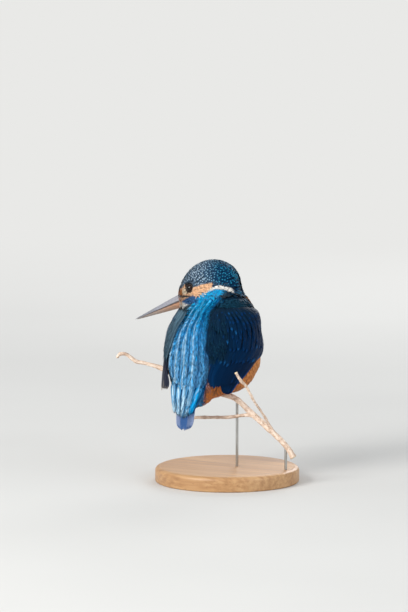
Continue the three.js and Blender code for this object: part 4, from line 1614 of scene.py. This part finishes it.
def stand(wood, steel):
    """A turned wooden disc with a small step and a chamfer, and two steel pins that hold up the twig."""
    foot = [(0, 0), (47.4, 0), (48, 0.6), (48, 7.8)]
    shoulder = [(47.2, 9.2), (45.4, 10), (44.2, 9.9), (43.6, 10), (0, 10)]
    base = revolved("turned_disc", rounded(foot + shoulder, 0.45), (0, 0), 160)
    base.data.materials.append(wood)
    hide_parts("stand_base")
    made = [base]
    for name, x, y in (("near", 20.5, 1.8), ("far", 56.0, 4.5)):
        path = smooth_table(np.linspace(0, 1, 400), STEM)
        top = np.interp(x, path[:, 0], path[:, 2]) - 0.4 + FEET[2]
        pin_profile = rounded([(0, 5), (0.9, 5), (0.9, top), (0, top)], 0.2)
        pin = revolved(f"pin_{name}", pin_profile, (x + FEET[0], y + FEET[1]), 40)
        pin.data.materials.append(steel)
        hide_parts(f"stand_pin_{name}")
        made.append(pin)
    for piece in made:
        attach(piece, "root")


# ---------------------------------------------------------------- hard finishes
def horn_material(name, stops, edge, roughness):
    """Bill horn, keratin over bone: satin, with fine growth lines along it and a cutting edge darker with
    wear.

    Its colour runs from face to tip by the bill's own share along, moved a little by a cloudy noise.
    """
    material, tree, shader = new_material(name)
    along = add_node(tree, "Attribute", {}, "Fac", attribute_name="along")
    height = add_node(tree, "Attribute", {}, "Fac", attribute_name="height")
    lengthwise = pattern_place(tree, (0.12, 1, 1), (0, -BOW, 0))
    streak = add_node(tree, "TexNoise", {"Vector": lengthwise, "Scale": 1500, "Detail": 4})
    cloud = add_node(tree, "TexNoise", {"Vector": pattern_place(tree), "Scale": 260, "Detail": 3})
    uneven = add_node(tree, "Math", {0: cloud, 1: 0.5}, operation="SUBTRACT")
    share = add_node(tree, "Math", {0: uneven, 1: 0.35, 2: along}, operation="MULTIPLY_ADD")
    colour = add_node(tree, "ValToRGB", {0: share}, stops=stops)
    rim = add_node(tree, "MapRange", {0: height, 1: 0.05, 2: 0.26, 3: 0.85, 4: 0.0})
    colour = add_node(tree, "Mix", {0: rim, 6: colour, 7: linear(edge)}, 2, data_type="RGBA")
    wear_and_painted_light = add_node(tree, "MapRange", {0: streak, 1: 0.3, 2: 0.7, 3: 0.8, 4: 1.15})
    lines = add_node(tree, "CombineColor", {0: wear_and_painted_light, 1: wear_and_painted_light, 2: wear_and_painted_light})
    lined = {0: 1.0, 6: colour, 7: lines}
    polish = {0: cloud, 1: 0.3, 2: 0.7, 3: roughness - 0.07, 4: roughness + 0.1}
    set_inputs(tree, shader, {
        "Base Color": add_node(tree, "Mix", lined, 2, data_type="RGBA", blend_type="MULTIPLY"),
        "Roughness": add_node(tree, "MapRange", polish),
        "IOR": 1.55,
        "Normal": add_node(tree, "Bump", {"Height": streak, "Strength": 0.25, "Distance": 0.0001}),
    })
    return material


def claw_material():
    """Claw horn: dark brown with paler growth streaks, polished by the perch."""
    material, tree, shader = new_material("claw_horn")
    streak = add_node(tree, "TexNoise", {"Vector": pattern_place(tree), "Scale": 1200, "Detail": 3})
    set_inputs(tree, shader, {
        "Base Color": add_node(tree, "ValToRGB", {0: streak}, stops=[(0.3, 0x1A1310), (0.7, 0x4A352A)]),
        "Roughness": 0.32,
        "IOR": 1.55,
        "Normal": add_node(tree, "Bump", {"Height": streak, "Strength": 0.2, "Distance": 0.00005}),
    })
    return material


def leg_material():
    """Scaly orange-red leg skin: plates 0.9 mm across, darker joints between them, and a dull wax shine."""
    material, tree, shader = new_material("scaly_leg_skin")
    place = pattern_place(tree)
    cells = {"Vector": place, "Scale": 1150}
    plates = add_node(tree, "TexVoronoi", cells, "Distance", feature="DISTANCE_TO_EDGE")
    seam = add_node(tree, "MapRange", {0: plates, 1: 0.0, 2: 0.12})
    cloud = add_node(tree, "TexNoise", {"Vector": place, "Scale": 500, "Detail": 3})
    tone = add_node(tree, "ValToRGB", {0: cloud}, stops=[(0.3, 0xB4381C), (0.55, 0xD9502A), (0.8, 0xE87448)])
    set_inputs(tree, shader, {
        "Base Color": add_node(tree, "Mix", {0: seam, 6: linear(0x8A2A18), 7: tone}, 2, data_type="RGBA"),
        "Roughness": 0.42,
        "Subsurface Weight": 0.08,
        "Subsurface Radius": (0.001, 0.0004, 0.0002),
        "Normal": add_node(tree, "Bump", {"Height": seam, "Strength": 0.5, "Distance": 0.0001}),
    })
    return material


def eye_material():
    """Clear cornea over a dark brown iris and black pupil: near black, wet and mirror smooth.

    Pupil, iris and rim are rings by the angle from the pupil in degrees, over 100, frayed by a fine noise.
    """
    material, tree, shader = new_material("glass_eye")
    angle = add_node(tree, "Attribute", {}, "Fac", attribute_name="from_pupil")
    fleck = add_node(tree, "TexNoise", {"Vector": pattern_place(tree), "Scale": 1500, "Detail": 2})
    frayed = add_node(tree, "Math", {0: fleck, 1: 8, 2: angle}, operation="MULTIPLY_ADD")
    ring = add_node(tree, "Math", {0: frayed, 1: 100}, operation="DIVIDE")
    stops = [(0.33, 0x050404), (0.37, 0x2C1710), (0.55, 0x1C0F0B), (0.62, 0x050404)]
    set_inputs(tree, shader, {
        "Base Color": add_node(tree, "ValToRGB", {0: ring}, stops=stops),
        "Roughness": 0.03,
        "IOR": 1.376,
    })
    return material


def lid_material():
    """Bare eyelid skin: blackish, finely wrinkled, faintly moist."""
    material, tree, shader = new_material("eyelid_skin")
    grain = add_node(tree, "TexNoise", {"Vector": pattern_place(tree), "Scale": 2500, "Detail": 2})
    set_inputs(tree, shader, {
        "Base Color": add_node(tree, "ValToRGB", {0: grain}, stops=[(0.3, 0x100F0E), (0.8, 0x2A2622)]),
        "Roughness": 0.45,
        "Normal": add_node(tree, "Bump", {"Height": grain, "Strength": 0.3, "Distance": 0.00005}),
    })
    return material


def bark_material():
    """Weathered young bark: dull pinkish cream with rust stains and dark lenticels, and pale cut wood."""
    material, tree, shader = new_material("weathered_twig_bark")
    place = pattern_place(tree)
    lengthwise = pattern_place(tree, (0.25, 1, 0.5))
    fibres = {"Vector": lengthwise, "Scale": 900, "Detail": 5, "Roughness": 0.6}
    grain = add_node(tree, "TexNoise", fibres)
    stain = add_node(tree, "TexNoise", {"Vector": place, "Scale": 130, "Detail": 4, "Roughness": 0.6})
    stops = [(0.25, 0x9C8370), (0.42, 0xCDB39E), (0.58, 0xEAD6C4), (0.8, 0xF6E9DC)]
    tone = add_node(tree, "ValToRGB", {0: grain}, stops=stops)
    patch = add_node(tree, "MapRange", {0: stain, 1: 0.5, 2: 0.7, 3: 0.0, 4: 0.55})
    tone = add_node(tree, "Mix", {0: patch, 6: tone, 7: linear(0x97786A)}, 2, data_type="RGBA")
    lenticels = {"Vector": lengthwise, "Scale": 700, "Randomness": 1.0}
    spots = add_node(tree, "TexVoronoi", lenticels, "Distance")
    dot = add_node(tree, "MapRange", {0: spots, 1: 0.08, 2: 0.2, 3: 0.6, 4: 0.0})
    tone = add_node(tree, "Mix", {0: dot, 6: tone, 7: linear(0x5E483A)}, 2, data_type="RGBA")
    year_rings = {"Vector": place, "Scale": 900, "Distortion": 6}
    rings = add_node(tree, "TexWave", year_rings, "Fac", wave_type="RINGS")
    wood = add_node(tree, "ValToRGB", {0: rings}, stops=[(0.0, 0xCDB188), (1.0, 0xE9D9B8)])
    cut = add_node(tree, "Attribute", {}, "Fac", attribute_name="cut")
    height = add_node(tree, "Math", {0: stain, 1: 0.6, 2: grain}, operation="MULTIPLY_ADD")
    set_inputs(tree, shader, {
        "Base Color": add_node(tree, "Mix", {0: cut, 6: tone, 7: wood}, 2, data_type="RGBA"),
        "Roughness": 0.82,
        "Specular IOR Level": 0.25,
        "Normal": add_node(tree, "Bump", {"Height": height, "Strength": 0.6, "Distance": 0.0003}),
    })
    return material


def wood_material():
    """Turned beech, oiled: pale brown with straight grain, short dark flecks and a low satin shine."""
    material, tree, shader = new_material("oiled_turned_beech")
    fibres = {"Vector": pattern_place(tree, (0.05, 1, 1)), "Scale": 420, "Detail": 6, "Roughness": 0.55}
    grain = add_node(tree, "TexNoise", fibres)
    bands = {"Vector": pattern_place(tree, (0.08, 1, 0.6)), "Scale": 60, "Detail": 3}
    broad = add_node(tree, "Math", {0: add_node(tree, "TexNoise", bands), 1: 0.4}, operation="MULTIPLY")
    blend = add_node(tree, "Math", {0: grain, 1: 0.6, 2: broad}, operation="MULTIPLY_ADD")
    tone = add_node(tree, "ValToRGB", {0: blend}, stops=[(0.3, 0x8F6440), (0.5, 0xB58A5E), (0.72, 0xCFA87A)])
    rays = {"Vector": pattern_place(tree, (0.22, 1, 1)), "Scale": 620}
    flecks = add_node(tree, "TexVoronoi", rays, "Distance")
    dark = add_node(tree, "MapRange", {0: flecks, 1: 0.06, 2: 0.2, 3: 0.45, 4: 0.0})
    set_inputs(tree, shader, {
        "Base Color": add_node(tree, "Mix", {0: dark, 6: tone, 7: linear(0x70492C)}, 2, data_type="RGBA"),
        "Roughness": add_node(tree, "MapRange", {0: grain, 1: 0.3, 2: 0.7, 3: 0.36, 4: 0.5}),
        "Normal": add_node(tree, "Bump", {"Height": grain, "Strength": 0.15, "Distance": 0.0002}),
    })
    return material


def steel_material():
    """Drawn stainless steel wire: bright, with fine lines along it from the die."""
    material, tree, shader = new_material("drawn_stainless_steel")
    drawn = {"Vector": pattern_place(tree, (1, 1, 0.03)), "Scale": 3000, "Detail": 2}
    lines = add_node(tree, "TexNoise", drawn)
    set_inputs(tree, shader, {
        "Base Color": add_node(tree, "ValToRGB", {0: lines}, stops=[(0.3, 0x9A9A98), (0.7, 0xC4C4C0)]),
        "Metallic": 1.0,
        "Roughness": add_node(tree, "MapRange", {0: lines, 1: 0.3, 2: 0.7, 3: 0.25, 4: 0.4}),
        "Normal": add_node(tree, "Bump", {"Height": lines, "Strength": 0.1, "Distance": 0.00003}),
    })
    return material


def floor_material():
    """Plain matt studio paper with the faintest mottle; far from the bird it shows one even pale tone."""
    material, tree, shader = new_material("matt_studio_paper")
    place = pattern_place(tree)
    mottle = add_node(tree, "TexNoise", {"Vector": place, "Scale": 3, "Detail": 2})
    set_inputs(tree, shader, {
        "Base Color": add_node(tree, "ValToRGB", {0: mottle}, stops=[(0.3, 0xD0D0CE), (0.7, 0xD6D6D4)]),
        "Roughness": 0.95,
        "Specular IOR Level": 0.1,
    })
    away = add_node(tree, "VectorMath", {0: place}, "Value", operation="LENGTH")
    far = add_node(tree, "MapRange", {0: away, 1: 0.25, 2: 1.6}, interpolation_type="SMOOTHSTEP")
    camera_ray = add_node(tree, "LightPath", {}, "Is Camera Ray")
    seen = add_node(tree, "Math", {0: far, 1: camera_ray}, operation="MULTIPLY")
    even = add_node(tree, "Emission", {"Color": linear(0xE9E9E7)})
    shown = {0: seen, 1: shader.outputs[0], 2: even}
    set_inputs(tree, tree.nodes["Material Output"], {"Surface": add_node(tree, "MixShader", shown)})
    return material


# ---------------------------------------------------------------- studio
def studio():
    """Floor, lamps, sky and the camera, which looks from 2.5 m away, 30 degrees round and 7 degrees down."""
    reach = np.array([0, 0.6, 1.5, 4, 9, 16])[:, None] / MM
    turn = np.linspace(0, 2 * math.pi, 64, endpoint=False)[None]
    points = np.stack([reach * np.cos(turn), reach * np.sin(turn), 0 * reach * turn], -1) - FEET
    floor = new_mesh("floor", points, grid_faces(6, 64), smooth=False)
    with_modifiers(floor, ("WELD", {"merge_threshold": 1e-5}))
    floor.data.materials.append(floor_material())

    look_at = Vector(FEET * MM) + Vector((0, 0, 0.035))
    lamps = (  # name, place from the bird in metres, size, watts, colour
        ("key", (-0.5, -1.45, 0.75), 0.8, 24.0, (1.0, 0.985, 0.96)),
        ("fill", (1.45, -0.3, 0.45), 1.2, 8.0, (0.95, 0.975, 1.0)),
        ("back", (-0.3, 1.5, 0.7), 0.9, 10.0, (1.0, 1.0, 1.0)),
        ("spark", (-0.15, -0.85, 0.88), 0.12, 1.2, (1.0, 0.98, 0.95)),
    )
    for name, place, size, power, colour in lamps:
        data = bpy.data.lights.new(name, "AREA")
        data.shape = "DISK"
        data.size = size
        data.energy = power
        data.color = colour
        lamp = bpy.data.objects.new(name, data)
        lamp.location = look_at + Vector(place)
        lamp.rotation_euler = (-Vector(place)).to_track_quat("-Z", "Y").to_euler()
        bpy.context.scene.collection.objects.link(lamp)

    world = bpy.data.worlds.new("studio")
    world.use_nodes = True
    bpy.context.scene.world = world
    tree = world.node_tree
    seen = add_node(tree, "LightPath", {}, "Is Camera Ray")
    set_inputs(tree, tree.nodes["Background"], {
        "Strength": add_node(tree, "MapRange", {0: seen, 3: 0.55, 4: 0.8}),
        "Color": np.array([0.96, 0.98, 1.0]),
    })

    azimuth = math.radians(30)
    elevation = math.radians(7)
    distance = 2.5
    view_height = 0.408  # metres from the lower edge of the view to the upper one
    right = Vector((math.cos(azimuth), math.sin(azimuth), 0))
    level = math.cos(elevation)
    ahead = Vector((-math.sin(azimuth) * level, math.cos(azimuth) * level, -math.sin(elevation)))
    up = right.cross(ahead)
    target = Vector(FEET * MM) - right * 0.00333 + up * 0.054
    camera_data = bpy.data.cameras.new("camera")
    camera_data.sensor_width = 36
    camera_data.lens = 36 * distance / view_height
    camera_data.clip_end = 60
    camera = bpy.data.objects.new("camera", camera_data)
    camera.location = target - ahead * distance
    camera.rotation_euler = ahead.to_track_quat("-Z", "Y").to_euler()
    bpy.context.scene.collection.objects.link(camera)
    bpy.context.scene.camera = camera
    bpy.context.scene.view_settings.view_transform = "Standard"


def build():
    """Makes the finishes, then the bird piece by piece, its twig, its stand and the studio round it."""
    materials = {
        "crown": plumage_material("crown_feathers", 0.55, 0.25, 0.0, 0.4, 0x7FC4E8),
        "soft": plumage_material("downy_feathers", 0.8, 0.1, 0.15, 0.3, shaft_dark=0.08),
        "back": plumage_material("silky_back_feathers", 0.5, 0.3, 0.0, 0.5, 0x86D2FF),
        "tail": plumage_material("tail_feathers", 0.5, 0.25, 0.0, 0.6, 0x9CB8F0),
        "glossy": plumage_material("flight_feathers", 0.48, 0.2, 0.0, 0.5, 0x3C84D8),
        "skin": skin_material(),
        "scale": leg_material(),
        "eye": eye_material(),
        "lid": lid_material(),
    }
    # The upper bill's pale silver grey is painted sheen: the bird's own upper bill is black; its cutting
    # edge keeps that black.
    dark = [(0.0, 0x9C9BA3), (0.5, 0x8E8F99), (1.0, 0x6E6F78)]
    orange = [(0.0, 0xD48F62), (0.35, 0xB48C72), (0.7, 0x978A83), (1.0, 0x74706E)]
    mandible("bill_upper", True, horn_material("bill_horn_painted_silver_sheen", dark, 0x1A1716, 0.3))
    mandible("bill_lower", False, horn_material("orange_bill_horn", orange, 0x4A2A20, 0.34))
    claw_horn = claw_material()
    feet = [leg(side, name, claw_horn) for side, name in ((-1, "left"), (1, "right"))]
    for side, name in ((1, "left"), (-1, "right")):
        eye(side, f"eye_{name}", materials)
    skin(feet, materials)
    less = 1.0  # share of the coat's feathers that are laid
    head_plumage(less, materials)
    trunk_plumage(less, materials)
    for side, name in ((-1, "left"), (1, "right")):
        wing(side, name, materials)
    tail(materials)
    perch(bark_material())
    stand(wood_material(), steel_material())
    studio()


build()
